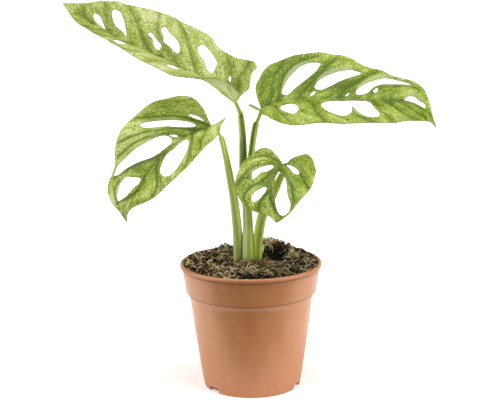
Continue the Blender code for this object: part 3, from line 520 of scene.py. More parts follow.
# The stored share darkens the peat: wet compost, and painted shade in the hollow and the gaps.
damp_and_shade = add_node(tree, "Attribute", attribute_name="wet_and_shade").outputs["Fac"]
soaked_and_shaded = add_node(tree, "Mix", {0: damp_and_shade, 6: peat_colour, 7: "#10110B"}, data_type="RGBA")
bump = add_node(tree, "Bump", {"Height": crumbly, "Strength": 0.9, "Distance": 1.2 * MM})
feed(shader, {"Base Color": soaked_and_shaded, "Normal": bump})
compost.data.materials.append(peat)
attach(compost, "root")
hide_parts("soil")

# %% [markdown]
# ### Fibres, moss and crumbs
#
# A step away the compost looks like a mat of short curled bits: straw, root hairs, coir and
# dead moss, with crumbs of peat between them. One straight bit is modelled as a three-sided
# rod and one crumb as a dented ball. Each is then copied many times along curves that a
# seeded random draw lays on the surface. Each copy carries its own shade in an attribute, so
# that one material colours the whole heap. Hair curves would be quicker, but they are lost
# when the part is exported.

# %% One straight fibre and one crumb
FIBRE_JOINTS = 6
CRUMB_DENTS = 0.5

let_go()
bpy.ops.mesh.primitive_circle_add(vertices=3, radius=0.5, fill_type="NGON")
fibre = bpy.context.object
edit("SELECT")
for joint in range(FIBRE_JOINTS):
    bpy.ops.mesh.extrude_region_move(TRANSFORM_OT_translate={"value": (0, 0, 1)})
turn_outwards()
fibre_points = np.array([tuple(v.co) for v in fibre.data.vertices])
fibre_faces = [tuple(f.vertices) for f in fibre.data.polygons]
bpy.data.objects.remove(fibre, do_unlink=True)

let_go()
bpy.ops.mesh.primitive_ico_sphere_add(subdivisions=2, radius=0.5)
crumb = bpy.context.object
dented = [v.co * (1 + CRUMB_DENTS * noise.noise(v.co * 3.1)) for v in crumb.data.vertices]
crumb_points = np.array([tuple(point) for point in dented])
crumb_faces = [tuple(f.vertices) for f in crumb.data.polygons]
bpy.data.objects.remove(crumb, do_unlink=True)
print("a fibre has", len(fibre_faces), "faces, a crumb", len(crumb_faces))


# %% Laying many copies
def heap(name, copies, material):
    """One piece from many copies, each (points in mm, faces, shade)."""
    points, faces, shades = [], [], []
    first = 0
    for copy_points, copy_faces, shade in copies:
        points.append(copy_points)
        faces += [tuple(i + first for i in face) for face in copy_faces]
        shades += [shade] * len(copy_points)
        first += len(copy_points)
    mesh = bpy.data.meshes.new(name)
    mesh.from_pydata((np.vstack(points) * MM).tolist(), [], faces)
    paint(mesh, "shade", shades)
    piece = add_object(name, mesh)
    mesh.materials.append(material)
    pick(piece)
    bpy.ops.object.shade_smooth()
    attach(piece, "root")
    print(name + ":", len(copies), "copies,", len(faces), "faces")


def lay_fibre(path, thick):
    """The straight fibre bent along a path of FIBRE_JOINTS + 1 points, thinner at its ends."""
    path = np.array(path)
    ahead = np.gradient(path, axis=0)
    ahead /= np.linalg.norm(ahead, axis=1, keepdims=True)
    side = np.cross(ahead, (0.3, 0.2, 1.0))
    side /= np.linalg.norm(side, axis=1, keepdims=True)
    over = np.cross(side, ahead)
    step = np.clip(np.round(fibre_points[:, 2]).astype(int), 0, FIBRE_JOINTS)
    taper = 1 - 0.7 * np.abs(2 * step / FIBRE_JOINTS - 1) ** 3
    wide = fibre_points[:, :2] * (thick * taper)[:, None]
    return path[step] + side[step] * wide[:, :1] + over[step] * wide[:, 1:2]


# %% [markdown]
# Most bits stick up at one end, and one in three arches over and comes down again. They keep clear of the
# stalks and inside the rim. Dry bits are light and wet ones dark. Bits in the hollow and the gaps get painted
# shade, and the wettest, most shaded places carry hardly any.

# %% Random paths and places
STALK_FEET = ((-10.4, 4.0), (-2.0, 1.5), (-1.5, 9.5), (5.9, 1.5))
STALK_CLEAR, RIM_CLEAR = 4, 0.8
ARCHES = (0.35, 0.5, 1.0)
BED = 0.25


def fibre_path(draw, x, y, long, curl, lift):
    """A curled path out of the compost. One in three comes down again, the others stick up."""
    heading = draw.uniform(0, 2 * math.pi)
    turn = draw.gauss(0, curl)
    arch = draw.choice(ARCHES)
    path = []
    for joint in range(FIBRE_JOINTS + 1):
        radius, rim = math.hypot(x, y), SOIL_EDGE - RIM_CLEAR - 0.1
        if radius > rim:
            x, y = x * rim / radius, y * rim / radius
        rise = lift * math.sin(math.pi * arch * joint / FIBRE_JOINTS) + BED
        path.append((x, y, soil_height(x, y) + rise + draw.uniform(-0.25, 0.35)))
        x += math.cos(heading) * long / FIBRE_JOINTS
        y += math.sin(heading) * long / FIBRE_JOINTS
        heading += turn + draw.gauss(0, curl * 0.5)
    return path


def spot(draw, near=None):
    """A random place on the compost. near is (x, y, spread) of a thicker patch to place it in."""
    widest = SOIL_EDGE - RIM_CLEAR
    while True:
        if near:
            x, y = draw.gauss(near[0], near[2]), draw.gauss(near[1], near[2])
        else:
            radius, angle = widest * math.sqrt(draw.random()), draw.uniform(0, 2 * math.pi)
            x, y = radius * math.cos(angle), radius * math.sin(angle)
        to_stalks = min(math.hypot(x - a, y - b) for a, b in STALK_FEET)
        if math.hypot(x, y) < widest and to_stalks > STALK_CLEAR:
            return x, y


# %% [markdown]
# All bits are dead plant matter: matt, with flecks finer than two millimetres. They differ in hue. Straw
# bleaches to cream, root hairs stay brown, moss dries grey green and coir, the husk fibre that is mixed into
# peat, is reddish. Each has a dark end for wet or buried copies and for copies in painted shade, and a light
# end for dry ones on top.

# %% Materials for the bits
FLECK = 1.6 * MM


def bits_material(name, dark, light, roughness):
    """A dry plant fibre whose shade comes from its copy."""
    material, tree, shader = new_material(name, roughness, specular=0.25)
    shade = add_node(tree, "Attribute", attribute_name="shade").outputs["Fac"]
    place = add_node(tree, "TexCoord").outputs["Object"]
    flecks = add_node(tree, "TexNoise", {"Vector": place, "Scale": 1 / FLECK, "Detail": 2.0})
    share = add_node(tree, "Math", {0: flecks, 1: -0.5}, operation="ADD")
    total = add_node(tree, "Math", {0: share, 1: shade}, operation="ADD", use_clamp=True)
    mixed = add_node(tree, "Mix", {0: total, 6: dark, 7: light}, data_type="RGBA")
    feed(shader, {"Base Color": mixed})
    return material


straw = bits_material("dry straw", "#86693C", "#FBE9BC", 0.7)
root_hair = bits_material("peat fibre", "#2E2115", "#9A784E", 0.85)
dead_moss = bits_material("dry moss", "#363A26", "#B2B482", 0.85)
red_fibre = bits_material("coir fibre", "#4A2E1C", "#B08257", 0.8)
crumb_peat = bits_material("peat crumb", "#120D09", "#4A3A28", 0.95)

# %% Crumbs
CRUMB_COUNT = 900
CRUMB_SIZES = (1.2, 3.6)

draw = random.Random(11)
crumbs = []
for copy in range(CRUMB_COUNT):
    x, y = spot(draw)
    size = draw.uniform(*CRUMB_SIZES)
    turn = Matrix.Rotation(draw.uniform(0, 6.28), 3, Vector([draw.gauss(0, 1) for axis in range(3)]))
    stretch = np.array([draw.uniform(0.7, 1.3) for axis in range(3)]) * size
    centre = (x, y, soil_height(x, y) + size * 0.1)
    # Painted shade: crumbs in the hollow and the gaps are darker.
    shade = draw.random() * (1 - wetness_and_shade(x, y))
    crumbs.append((crumb_points * stretch @ np.array(turn).T + centre, crumb_faces, shade))
heap("peat_crumbs", crumbs, crumb_peat)


# %% Fibres
def strew(name, material, count, long, thick, curl, lift, shade, patches=()):
    """Lays fibres on the compost. Each patch is (its share of them, (x, y, spread))."""
    copies = []
    for copy in range(count):
        chance = draw.random()
        near = None
        for share, patch in patches:
            if chance < share:
                near = patch
                break
            chance -= share
        x, y = spot(draw, near)
        if draw.random() < 1.1 * wetness_and_shade(x, y) - 0.1:
            continue
        path = fibre_path(draw, x, y, draw.uniform(*long), curl, draw.uniform(*lift))
        # Painted shade: fibres in the hollow and the gaps are darker.
        tone = draw.uniform(*shade) * (1 - 0.9 * wetness_and_shade(x, y))
        copies.append((lay_fibre(path, draw.uniform(*thick)), fibre_faces, tone))
    heap(name, copies, material)


FRONT_RIGHT = (26, -28, 16)
BACK_LEFT = (-22, 42, 5)
BACK_MOUND = (18, 48, 10)
BEFORE_STALKS = (2, -16, 9)
LEFT_SIDE = (-36, -8, 15)
HOLLOW_EDGE = (33, 24, 3)
strew("peat_fibres", root_hair, 1900, (4, 13), (0.4, 0.9), 0.5, (0.2, 2.0), (0, 1))
strew("moss_bits", dead_moss, 1150, (3, 9), (0.5, 1.0), 0.5, (0.4, 2.6), (0, 1),
      ((0.3, FRONT_RIGHT), (0.08, BACK_LEFT), (0.14, BACK_MOUND)))
strew("straw_bits", straw, 1300, (4, 12), (0.38, 0.8), 0.12, (0.5, 3.0), (0.15, 1.45),
      ((0.2, LEFT_SIDE), (0.12, BACK_MOUND), (0.04, BEFORE_STALKS), (0.06, HOLLOW_EDGE)))
strew("straw_tuft", straw, 26, (6, 13), (0.4, 0.75), 0.2, (2.5, 8), (0.6, 1), ((1.0, HOLLOW_EDGE),))
strew("coir_bits", red_fibre, 700, (4, 10), (0.4, 0.8), 0.6, (0.4, 2.6), (0.1, 1),
      ((0.5, BEFORE_STALKS), (0.25, BACK_MOUND)))

# %% [markdown]
# ## The crown
#
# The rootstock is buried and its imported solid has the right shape, so it stays. It gets the
# corky skin of a buried stem: matt and tan, with darker patches a few millimetres across.

# %% Corky rootstock
CORK_PATCH = 4 * MM

cork, tree, shader = new_material("corky rootstock", 0.85)
place = add_node(tree, "TexCoord").outputs["Object"]
patches = add_node(tree, "TexNoise", {"Vector": place, "Scale": 1 / CORK_PATCH, "Detail": 5.0})
skin = add_node(tree, "Mix", {0: patches, 6: "#5A4526", 7: "#A98E5A"}, data_type="RGBA")
feed(shader, {"Base Color": skin})
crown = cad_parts["crown"]
for material_slot in crown.material_slots:
    material_slot.material = cork
print("crown:", len(crown.data.polygons), "faces")

# %% [markdown]
# ## The leaves
#
# A blade of this vine is a thin sheet with real holes in it: patches of the young leaf die
# before it unrolls. Each leaf is drawn flat first, as (along the midrib, out from it) in
# millimetres, with its margin, its windows and the side veins that run between them. The
# flat sheet is filled with small triangles and every point is then carried to its place in
# space, where the midrib hangs in an arc and each half rises from it and curls back.
#
# `rise` gives the angle of a half against the leaf's level at stations along the midrib, `curl` its bend in
# degrees a centimetre and `wave` how far its margin waves. `faces` is the way that the upper face looks.
# `pale` says how much cream the leaf has. Each of the `spots` adds to it or takes from it, as cream and as
# painted light and shade: (along, across, spread, amount). The crease value says how much painted shade lies
# along its side veins. `turned` says how far the edges of its windows turn down and how strong the painted
# highlight on them is.

# %% The upper left leaf, the palest
LEAVES = {}
LEAVES["upper_left"] = {
    "midrib": ((-10.6, 11.5, 241.3), (-16.8, 14.5, 245.4), (-41.4, 21, 261.2), (-77.2, 29, 279),
               (-120, 38, 298.5), (-156.4, 44, 323.2)),
    "faces": (0, 0, 1),
    "pale": 0.395,
    "turned": 0.25,
    "crease_shade": 0.55,
    "spots": ((92, 5, 9, -0.2), (72, 5, 9, -0.18), (112, 8, 8, -0.12), (122, 12, 6, -0.1),
              (136, 12, 9, -0.1), (154, 0, 8, -0.18), (8, 9, 7, -0.25), (18, 26, 10, -0.05),
              (100, 32, 10, 0.08), (80, 36, 7, 0.08), (50, 34, 12, 0.05), (80, -20, 25, 0.12)),
    "right": {
        "rise": ((0, 50), (7, 62), (14, 55), (30, 53), (60, 52), (106, 54), (130, 48), (147, 42),
                 (162, 30)),
        "curl": -3,
        "wave": 1.0,
        "margin": ((-0.5, 7), (-1.5, 12), (-2.5, 17.5), (0, 23), (2.5, 28), (3.5, 33), (3, 38.5),
                   (5.5, 40), (9, 39), (14, 37.5), (21, 34.5), (30, 35), (38, 35.5), (43, 37.5),
                   (47.5, 40), (54, 41), (60.5, 41.5), (71, 43.5), (80.5, 42.8), (94, 40.8), (110, 41),
                   (120, 37.5), (129, 34.7), (135.5, 35.7), (147, 27.5), (154, 19.5), (162, 11)),
        "veins": (
            ((2, 0), (5, 8), (9, 19), (10, 29), (10, 37)),
            ((8, 0), (15, 12), (20, 22), (26, 29), (34, 36)),
            ((40, 0), (52, 12), (63, 25), (74, 37), (82, 42)),
            ((58, 0), (75, 12), (87, 19), (93, 28), (98, 40)),
            ((84, 0), (96, 8), (104, 16), (116, 27), (126, 35)),
            ((117, 0), (124, 2), (130, 6), (136, 15), (144, 27)),
            ((141, 0), (148, 2), (152, 5), (157, 12)),
        ),
        "windows": (
            ((129, 2.5), (134.5, 3.3), (139.5, 4.2), (143.5, 6.7), (144.5, 10.8), (139, 10.6),
             (134, 6.8)),
            ((110.5, 5.8), (117, 8.7), (122.5, 10), (127.5, 13.7), (133, 20.4), (133.8, 25), (128.3, 25),
             (121.2, 19), (115.2, 12.3)),
            ((79.7, 6), (84.2, 7), (90.7, 13.9), (95.5, 15.6), (94.4, 18.2), (92, 17.4), (87, 14.3),
             (80.6, 10.6)),
            ((64.5, 11), (74, 13.5), (80.7, 15.3), (83, 19.7), (88, 24.2), (87.4, 28.7), (80.7, 25.2),
             (73, 23), (67, 18.3)),
            ((31, 9.3), (36.7, 10.7), (41.6, 15.5), (49.3, 19.6), (53, 24.8), (51.5, 29.3), (47, 28.5),
             (39.7, 25.5), (32.3, 20.6), (31.3, 14.5)),
            ((14, 11.7), (16.7, 13.8), (17.2, 16.8), (15, 15)),
        ),
    },
    "left": {
        "rise": ((-2, 42), (0, 38), (10, 34), (20, 29), (30, 17), (40, 11), (50, 6.5), (80, 3), (120, 2),
                 (140, -8), (155, -22)),
        "curl": -3,
        "wave": 0.4,
        "margin": ((-2, 6), (-2, 14), (0, 22), (5, 30), (10, 34), (20, 37.5), (30, 38.8), (40, 39.8),
                   (50, 40.4), (63.5, 39.5), (75, 37.2), (85, 34), (98, 29), (112, 23.5), (125.5, 18.8),
                   (138.6, 14.7), (150.6, 11.2), (161.5, 6)),
        "veins": (
            ((4, 0), (8, 12), (10, 24), (9, 33)),
            ((11, 0), (22, 4), (31, 11), (38, 24), (43, 37)),
            ((48, 0), (66, 10), (72, 22), (77, 35)),
            ((76, 0), (88, 12), (96, 22), (101, 28)),
            ((100, 0), (119, 8), (127, 16), (131, 17)),
            ((126, 0), (138, 8), (146, 12)),
        ),
        "windows": (
            ((106.5, 3.5), (111, 3.5), (114.5, 8), (114, 15), (109, 17), (105, 11)),
            ((55, 8.5), (60, 7), (63.5, 13), (63, 20), (58, 22), (54, 16)),
        ),
    },
}

# %% The upper right leaf
LEAVES["upper_right"] = {
    "midrib": ((10, 12, 234), (17, 15, 238.5), (42.5, 20, 242), (82, 20, 241.5), (115, 14, 241),
               (134, 8, 238), (147.5, 3, 229.5), (155.5, 0, 219.5)),
    "faces": (0, 0, 1),
    "pale": 0.25,
    "turned": 1.0,
    "crease_shade": 0.65,
    "spots": ((5, -20, 14, -0.03), (42, -16, 8, -0.12), (66, -14, 8, -0.16), (80, -18, 9, -0.2),
              (30, -30, 8, -0.14), (52, -26, 7, -0.16), (60, -42, 14, 0.15), (95, -38, 8, 0.15),
              (40, 30, 16, 0.1), (75, 36, 12, 0.12), (10, 20, 12, 0.1), (110, 20, 14, 0.2),
              (112, 4, 8, -0.2), (125, -14, 10, 0.18)),
    "right": {
        "rise": ((-10, 44), (-4, 19), (0, 4), (10, -6), (20, -13), (30, -15), (80, -14), (100, -15.5),
                 (120, -20), (140, -12), (150, -8)),
        "curl": -3,
        "wave": 0.4,
        "margin": ((-4, 4.5), (-10.5, 8), (-10.5, 8), (-7, 13), (-3, 19), (1.2, 26.1), (10, 36.2),
                   (19.6, 40.8), (28.8, 43.1), (38.6, 43.6), (48, 42.9), (56, 42.7), (65, 42.6),
                   (75.6, 42.5), (85, 42.2), (92.7, 41.2), (100.6, 39.4), (108.6, 36.6), (118, 33.3),
                   (128.8, 28.8), (138.5, 22.4), (145.8, 14.4), (151.5, 6.6)),
        "veins": (
            ((8, 0), (15, 11), (19, 24), (26, 36)),
            ((38, 0), (46, 10), (49, 22), (53, 31), (58, 39)),
            ((80.3, 12.8), (83, 24), (90, 33), (97, 39)),
            ((94, 0), (98, 6), (103, 17), (109, 25), (116, 31)),
            ((104, 0), (109, 4), (116, 10), (124, 18), (132, 23)),
            ((118, 0), (128, 6), (136, 9), (144, 12)),
        ),
        "windows": (
            ((19.5, 11.3), (23.3, 8.6), (30.3, 8.4), (35.2, 18.2), (32.4, 26), (26.5, 22.3),
             (21.1, 16.7)),
            ((54.2, 10.7), (61.4, 4.9), (72.6, 3.9), (83.8, 3), (94, 5.2), (98.9, 16.1), (103.9, 24.8),
             (102.4, 30.2), (93.8, 30), (86.8, 24.4), (80.3, 12.3), (80.3, 12.3), (79.6, 27.1),
             (75.8, 30.3), (66.7, 26.8), (58.5, 20.3)),
        ),
    },
    "left": {
        "rise": ((-3, 66), (8, 67), (15, 64.5), (35, 63), (50, 64), (66, 57.5), (80, 49.5), (95, 41),
                 (110, 38), (125, 43), (140, 44), (158, 12)),
        "curl": -4,
        "wave": 1.2,
        "margin": ((-0.5, 4), (-2, 8.6), (-3.4, 15.5), (-3.7, 19.8), (-2.7, 24), (-0.3, 28), (2.3, 30.8),
                   (6, 33.8), (9.2, 36.8), (14.6, 39.3), (25.9, 42.3), (35, 42), (43.6, 44), (49.3, 46),
                   (55.1, 47), (65.7, 45.2), (74, 44.1), (84.7, 43.4), (92.7, 43), (98, 40.8),
                   (108.7, 34.2), (118, 30.8), (125.5, 28.2), (135, 25), (141.5, 21.5), (146.8, 16.6),
                   (151.5, 8.5)),
        "veins": (
            ((10, 0), (11, 8), (12, 20), (17, 32), (22, 40)),
            ((16, 0), (18, 10), (21, 19), (27, 28), (37, 36), (47, 42)),
            ((34, 0), (38, 6), (44, 14), (50, 21), (56, 31), (64, 42)),
            ((68, 0), (74, 10), (82, 19), (90, 28), (98, 36)),
            ((93, 0), (100, 13), (110, 17), (123, 19), (134, 20)),
            ((112, 0), (124, 1.6), (138, 2.6), (148, 5)),
        ),
        "windows": (
            ((20.4, 7.2), (23.6, 17.1), (29.4, 25.2), (36.8, 31.9), (43.8, 34.9), (50.7, 34.6),
             (47.6, 26.2), (39.8, 17.9), (32.4, 11.4), (24.1, 4.9)),
            ((48.8, 8.6), (47.8, 11.1), (51, 16.8), (59.5, 23.1), (68.2, 27.7), (79.4, 32.8), (86.5, 32),
             (78.8, 24.5), (68.9, 17.8), (60.3, 11.6), (52.8, 7.8)),
            ((83.4, 5.1), (82.8, 9.4), (88.3, 16.8), (96.9, 24), (107.6, 29.4), (117.8, 26.9),
             (128.8, 21.5), (120.3, 21), (107.2, 20), (97.4, 14.6), (92.2, 7), (86.8, 4.5)),
            ((44.1, 2.6), (46.1, 5.6), (48.6, 6.4), (47.5, 3.6)),
            ((73.6, 2.6), (75.1, 5), (77.1, 6.2), (76.1, 3.5)),
            ((96.9, 8.4), (97.8, 12.1), (100.2, 13.9), (100.8, 11.2), (99.2, 7.6)),
            ((123.6, 2.6), (126, 7.7), (131.4, 10.6), (135.4, 9), (142, 9.3), (142.7, 4.8), (134.8, 3.4),
             (128.8, 2.7)),
        ),
    },
}

# %% The middle left leaf
LEAVES["mid_left"] = {
    "midrib": ((-30.9, -5, 224), (-51.2, -15.5, 216.7), (-68.8, -29, 205), (-79.8, -38, 193.6),
               (-88, -48, 180.5), (-97.8, -56, 171), (-99.9, -59.5, 164.5), (-98.1, -60, 156)),
    "faces": (-0.1, -0.85, 0.5),
    "pale": 0.43,
    "turned": 0.35,
    "crease_shade": 0.9,
    "spots": ((10, -16, 10, 0.06), (72, 0, 12, -0.22), (48, 2, 9, -0.2), (14, 4, 10, -0.16),
              (18, 36, 12, -0.12), (58, 30, 14, 0.14), (102, 12, 9, 0.16)),
    "right": {
        "rise": ((0, 12), (119, 12)),
        "curl": -5.5,
        "wave": 1.3,
        "margin": ((-2, 5), (-6.3, 14), (-9.2, 26), (-7, 34.5), (-0.3, 42.5), (13, 44.5), (26, 44),
                   (40, 43.8), (55, 41), (66, 36.6), (75.5, 30.8), (80, 28), (92.6, 24.2), (101.4, 19.4),
                   (108, 12.5), (112, 4.5)),
        "veins": (
            ((1, 0), (5.5, 7), (9.5, 13.5), (14, 19), (23, 27), (32, 36), (38, 43)),
            ((12, 0), (22, 9), (32, 16.5), (43, 24), (54, 30), (64, 36)),
            ((24, 0), (33, 10.5), (42, 16.5), (48, 20), (56, 24), (66, 27), (75, 29)),
            ((48, 0), (60, 5), (72, 12.5), (82, 18.5), (91, 21)),
            ((91, 16.5), (98, 14.5), (103, 11), (107, 5.5)),
            ((88, 0), (100, 2), (108, 8)),
        ),
        "windows": (
            ((9.9, 5.5), (13.6, 5.6), (21.6, 10.7), (28.3, 17.5), (36.1, 23.6), (41, 28.7), (41, 33.8),
             (36.8, 32.9), (31.1, 28.7), (23.8, 22.4), (17.8, 17.2), (11.7, 11)),
            ((1.5, 6.7), (3, 8.4), (5.9, 12.8), (7.2, 17.4), (4.9, 17.2), (1.7, 12.6)),
            ((34.8, 5.1), (37.8, 3), (45.2, 3), (56.9, 4.9), (67.9, 11.6), (78.9, 18), (88.2, 21),
             (90, 22.6), (80.8, 25), (70.4, 22.9), (60.1, 20.5), (49.3, 17.2), (39.7, 14.2), (35, 10.8)),
            ((28.3, 5.1), (29.7, 4.1), (32.2, 6.7), (33.4, 9.4), (30.6, 8.2)),
            ((78.3, 3.6), (82.9, 2.8), (88.2, 4), (94.1, 3.6), (98.6, 3.4), (104.6, 6.7), (98.7, 10.8),
             (91.9, 14.3), (84.3, 14.1), (80.9, 8.6)),
        ),
    },
    "left": {
        "rise": ((-9, 57), (0, 60), (5, 58), (10, 53), (20, 46), (40, 41), (60, 36), (80, 30), (100, 27)),
        "curl": -3,
        "wave": 1.3,
        "margin": ((-0.5, 5), (-2, 11), (-8.5, 15), (-8.5, 15), (-1, 20.8), (4, 26), (9.3, 30.4),
                   (13, 32.9), (22.7, 35), (38, 35.4), (52.7, 34.4), (65.8, 31.2), (79, 23.4),
                   (95.3, 15.6), (105.6, 7.4)),
        "veins": (
            ((3, 0), (8, 8), (18, 18), (26, 24), (36, 33)),
            ((18, 0), (24, 9), (31, 17), (46, 28), (56, 33)),
            ((56, 0), (64, 5), (72, 12), (80, 16), (90, 16.5), (100, 8.5)),
            ((92, 0), (101, 5), (106, 6)),
        ),
        "windows": (
            ((6, 2.8), (9, 2.6), (12, 4.5), (10, 5.8)),
            ((27.4, 5), (30.1, 11.2), (39.5, 20.5), (49.2, 24.5), (60.9, 26), (68, 22.3), (69, 17),
             (65.8, 11), (57.2, 6.5), (47.6, 3), (41.7, 4.2), (32, 3)),
        ),
    },
}

# %% The front leaf
LEAVES["front"] = {
    "midrib": ((27.3, -15, 193.2), (19.9, -26, 187.6), (15.7, -40, 176.3), (16.6, -47, 167.9),
               (20.9, -56, 152.8)),
    "faces": (0.1, -0.85, 0.5),
    "pale": 0.37,
    "turned": 0.2,
    "crease_shade": 1.0,
    "spots": ((0, -16, 9, -0.1), (14, 0, 9, -0.2), (32, 0, 9, -0.2), (0, 14, 9, 0.14), (20, 20, 8, 0.06),
              (20, -22, 8, -0.08)),
    "right": {
        "rise": ((0, 16), (62, 16)),
        "curl": -10,
        "wave": 1.3,
        "margin": ((-6.4, 7.7), (-9.6, 12.5), (-10.2, 17.4), (-6.9, 22.4), (-2, 25.9), (10.4, 27.3),
                   (19.4, 27.9), (28.3, 28.5), (37.8, 27.6), (46.1, 25.5), (52.2, 21), (55.3, 14.4),
                   (57, 6)),
        "veins": (
            ((0, 0), (-1, 6), (-2, 14), (0, 20), (8, 26)),
            ((0, 0), (3, 3), (8, 10), (14, 17), (24, 23), (34, 27)),
            ((12, 0), (27, 8), (36, 17), (43, 22), (49, 23)),
            ((34, 0), (43, 7), (49, 11), (54, 13)),
        ),
        "windows": (
            ((6.3, 5.4), (8.1, 3.6), (14.9, 5.3), (18.1, 9.9), (24.3, 13), (27.5, 16.5), (26.8, 20.3),
             (21.6, 18.6), (16.2, 14.6), (10.8, 10.4)),
            ((25.5, 21.7), (27.7, 22), (28, 23.5), (26.2, 23.3)),
            ((31, 2.9), (34.4, 2.9), (40.9, 7.5), (45.5, 12.3), (46.7, 16), (42.2, 15.6), (39.5, 13.6),
             (34.2, 7.8)),
        ),
    },
    "left": {
        "rise": ((0, 16), (62, 16)),
        "curl": -10,
        "wave": 1.3,
        "margin": ((-1.1, 3), (-5.6, 5.8), (-11, 12.1), (-13.8, 18.1), (-11.2, 22.7), (-4.5, 26.4),
                   (4.6, 30.3), (17, 33.6), (25, 33), (33, 30), (45.7, 20.5), (54.5, 12.6), (59.5, 5.3)),
        "veins": (
            ((0, 0), (1, 4), (4, 10), (10, 19), (16, 25), (26, 31)),
            ((8, 0), (12, 6), (20, 13), (31, 18), (42, 19), (50, 15)),
            ((40, 0), (50, 2), (58, 5)),
        ),
        "windows": (
            ((12, 3.2), (16, 2.8), (21.4, 2.9), (29.9, 3.9), (41.8, 3.9), (47.8, 3.4), (53.6, 3.8),
             (55.8, 5.2), (55.8, 8.2), (51.9, 12.6), (45.6, 15.5), (38.6, 14.8), (28.8, 13.6),
             (20.7, 11.3), (14, 6.5)),
            ((0.8, 3.8), (2.5, 4.6), (6, 9), (11, 14.5), (11.8, 18.3), (8.7, 18.5), (4, 13.7),
             (0.8, 7.3)),
        ),
    },
}

# %% [markdown]
# ### Curves and the bent sheet
#
# A smooth curve runs through each drawn outline, and a point that is given twice stays a
# corner. `Blade` bends the flat leaf: it looks up the midrib at a station, turns each half up
# by its angle, curls it back with width, and adds the slow waves of the margin. Modelling the
# bent sheet by hand would work too, but a flat drawing is far easier to set against a picture.

# %% Smooth curves
def smooth_curve(points, step, closed=False):
    """Points about every step along a curve that runs smoothly through the given points."""
    points = [np.asarray(p, float) for p in points]
    count = len(points)
    if closed:
        ring = [points[-1]] + points + points[:2]
    else:
        ring = [2 * points[0] - points[1]] + points + [2 * points[-1] - points[-2]]
    result = []
    for i in range(count if closed else count - 1):
        p0, p1, p2, p3 = ring[i:i + 4]
        t1 = math.sqrt(max(np.linalg.norm(p1 - p0), 1e-6))
        t2 = t1 + math.sqrt(max(np.linalg.norm(p2 - p1), 1e-6))
        t3 = t2 + math.sqrt(max(np.linalg.norm(p3 - p2), 1e-6))
        pieces = max(1, round(np.linalg.norm(p2 - p1) / step))
        for k in range(pieces):
            t = t1 + (t2 - t1) * k / pieces
            a1 = (p0 * (t1 - t) + p1 * t) / t1
            a2 = (p1 * (t2 - t) + p2 * (t - t1)) / (t2 - t1)
            a3 = (p2 * (t3 - t) + p3 * (t - t2)) / (t3 - t2)
            b1 = (a1 * (t2 - t) + a2 * t) / t2
            b2 = (a2 * (t3 - t) + a3 * (t - t1)) / (t3 - t1)
            result.append((b1 * (t2 - t) + b2 * (t - t1)) / (t2 - t1))
    if not closed:
        result.append(points[-1])
    return result


def cornered_curve(points, step, closed=False):
    """A smooth curve in which a point given twice in a row is a sharp corner."""
    corners = [i for i in range(len(points) - 1) if points[i] == points[i + 1]]
    if not corners:
        return smooth_curve(points, step, closed)
    if closed:
        turned = points[corners[0] + 1:] + points[:corners[0] + 1]
        return cornered_curve(turned, step)[:-1]
    first = smooth_curve(points[:corners[0] + 1], step)
    return first[:-1] + cornered_curve(points[corners[0] + 1:], step)


def run_along(points):
    """How far along a line each of its points is."""
    return np.concatenate([[0], np.cumsum(np.linalg.norm(np.diff(points, axis=0), axis=1))])


def unit(vectors):
    """Each vector at length 1."""
    return vectors / np.linalg.norm(vectors, axis=-1, keepdims=True)


# %% The bent sheet
CHORD_SHARE = 0.8
WAVE_LENGTH = 36.0
WAVE_SWEEP = 0.45
WAVE_HALF_WIDTH = 40


class Blade:
    """Places a point of the flat leaf (s along the midrib, v to its right) in space."""

    def __init__(self, leaf):
        dense = np.array(smooth_curve(leaf["midrib"], 0.5))
        run = run_along(dense)
        self.length = float(run[-1])
        self.station = np.linspace(0, self.length, 400)
        self.rib = np.stack([np.interp(self.station, run, dense[:, k]) for k in range(3)], 1)
        chord = unit(self.rib[-1] - self.rib[0])
        local = unit(np.gradient(self.rib, self.station, axis=0))
        self.along = unit((1 - CHORD_SHARE) * local + CHORD_SHARE * chord)
        self.across = unit(np.cross(self.along, unit(np.asarray(leaf["faces"], float))))
        self.up = np.cross(self.across, self.along)
        self.halves = (leaf["right"], leaf["left"])

    def point(self, s, v):
        """Places in space, on the middle of the sheet."""
        s, v = np.broadcast_arrays(np.asarray(s, float), np.asarray(v, float))
        held = np.clip(s, 0, self.length)
        rib, along, across, up = (
            np.stack([np.interp(held, self.station, field[:, k]) for k in range(3)], -1)
            for field in (self.rib, self.along, self.across, self.up))
        width = np.abs(v)
        side = np.where(v >= 0, 1.0, -1.0)
        rises = [np.interp(s, *np.array(half["rise"], float).T) for half in self.halves]
        rise = np.radians(np.where(v >= 0, *rises))
        curl, wave = (np.where(v >= 0, *(half[key] for half in self.halves)) for key in ("curl", "wave"))
        curl = np.radians(curl) / 10
        out = (np.sin(rise + curl * width) - np.sin(rise)) / curl
        lift = (np.cos(rise) - np.cos(rise + curl * width)) / curl
        phase = 2 * math.pi * (s - WAVE_SWEEP * width) / WAVE_LENGTH + 1.3 * side
        lift = lift + wave * (width / WAVE_HALF_WIDTH) ** 2 * np.sin(phase)
        return rib + (s - held)[..., None] * along + (side * out)[..., None] * across + lift[..., None] * up

    def normal(self, s, v, small=0.6):
        """Directions out of the upper face, from points a small step apart."""
        s, v = np.asarray(s), np.asarray(v)
        ds = self.point(s + small, v) - self.point(s - small, v)
        dv = self.point(s, v + small) - self.point(s, v - small)
        return unit(np.cross(dv, ds))


for place, leaf in LEAVES.items():
    windows = len(leaf["right"]["windows"] + leaf["left"]["windows"])
    print(place + ":", round(Blade(leaf).length), "mm along the midrib,", windows, "windows")

# %% [markdown]
# ### Filling the flat leaf
#
# A triangle fill joins the points of the outline, the windows and a net of points between
# them. Triangles in the windows are left out, so the holes are real and their edges clean. A
# grid with the windows cut out by a modifier would get sliver faces round every one of them.

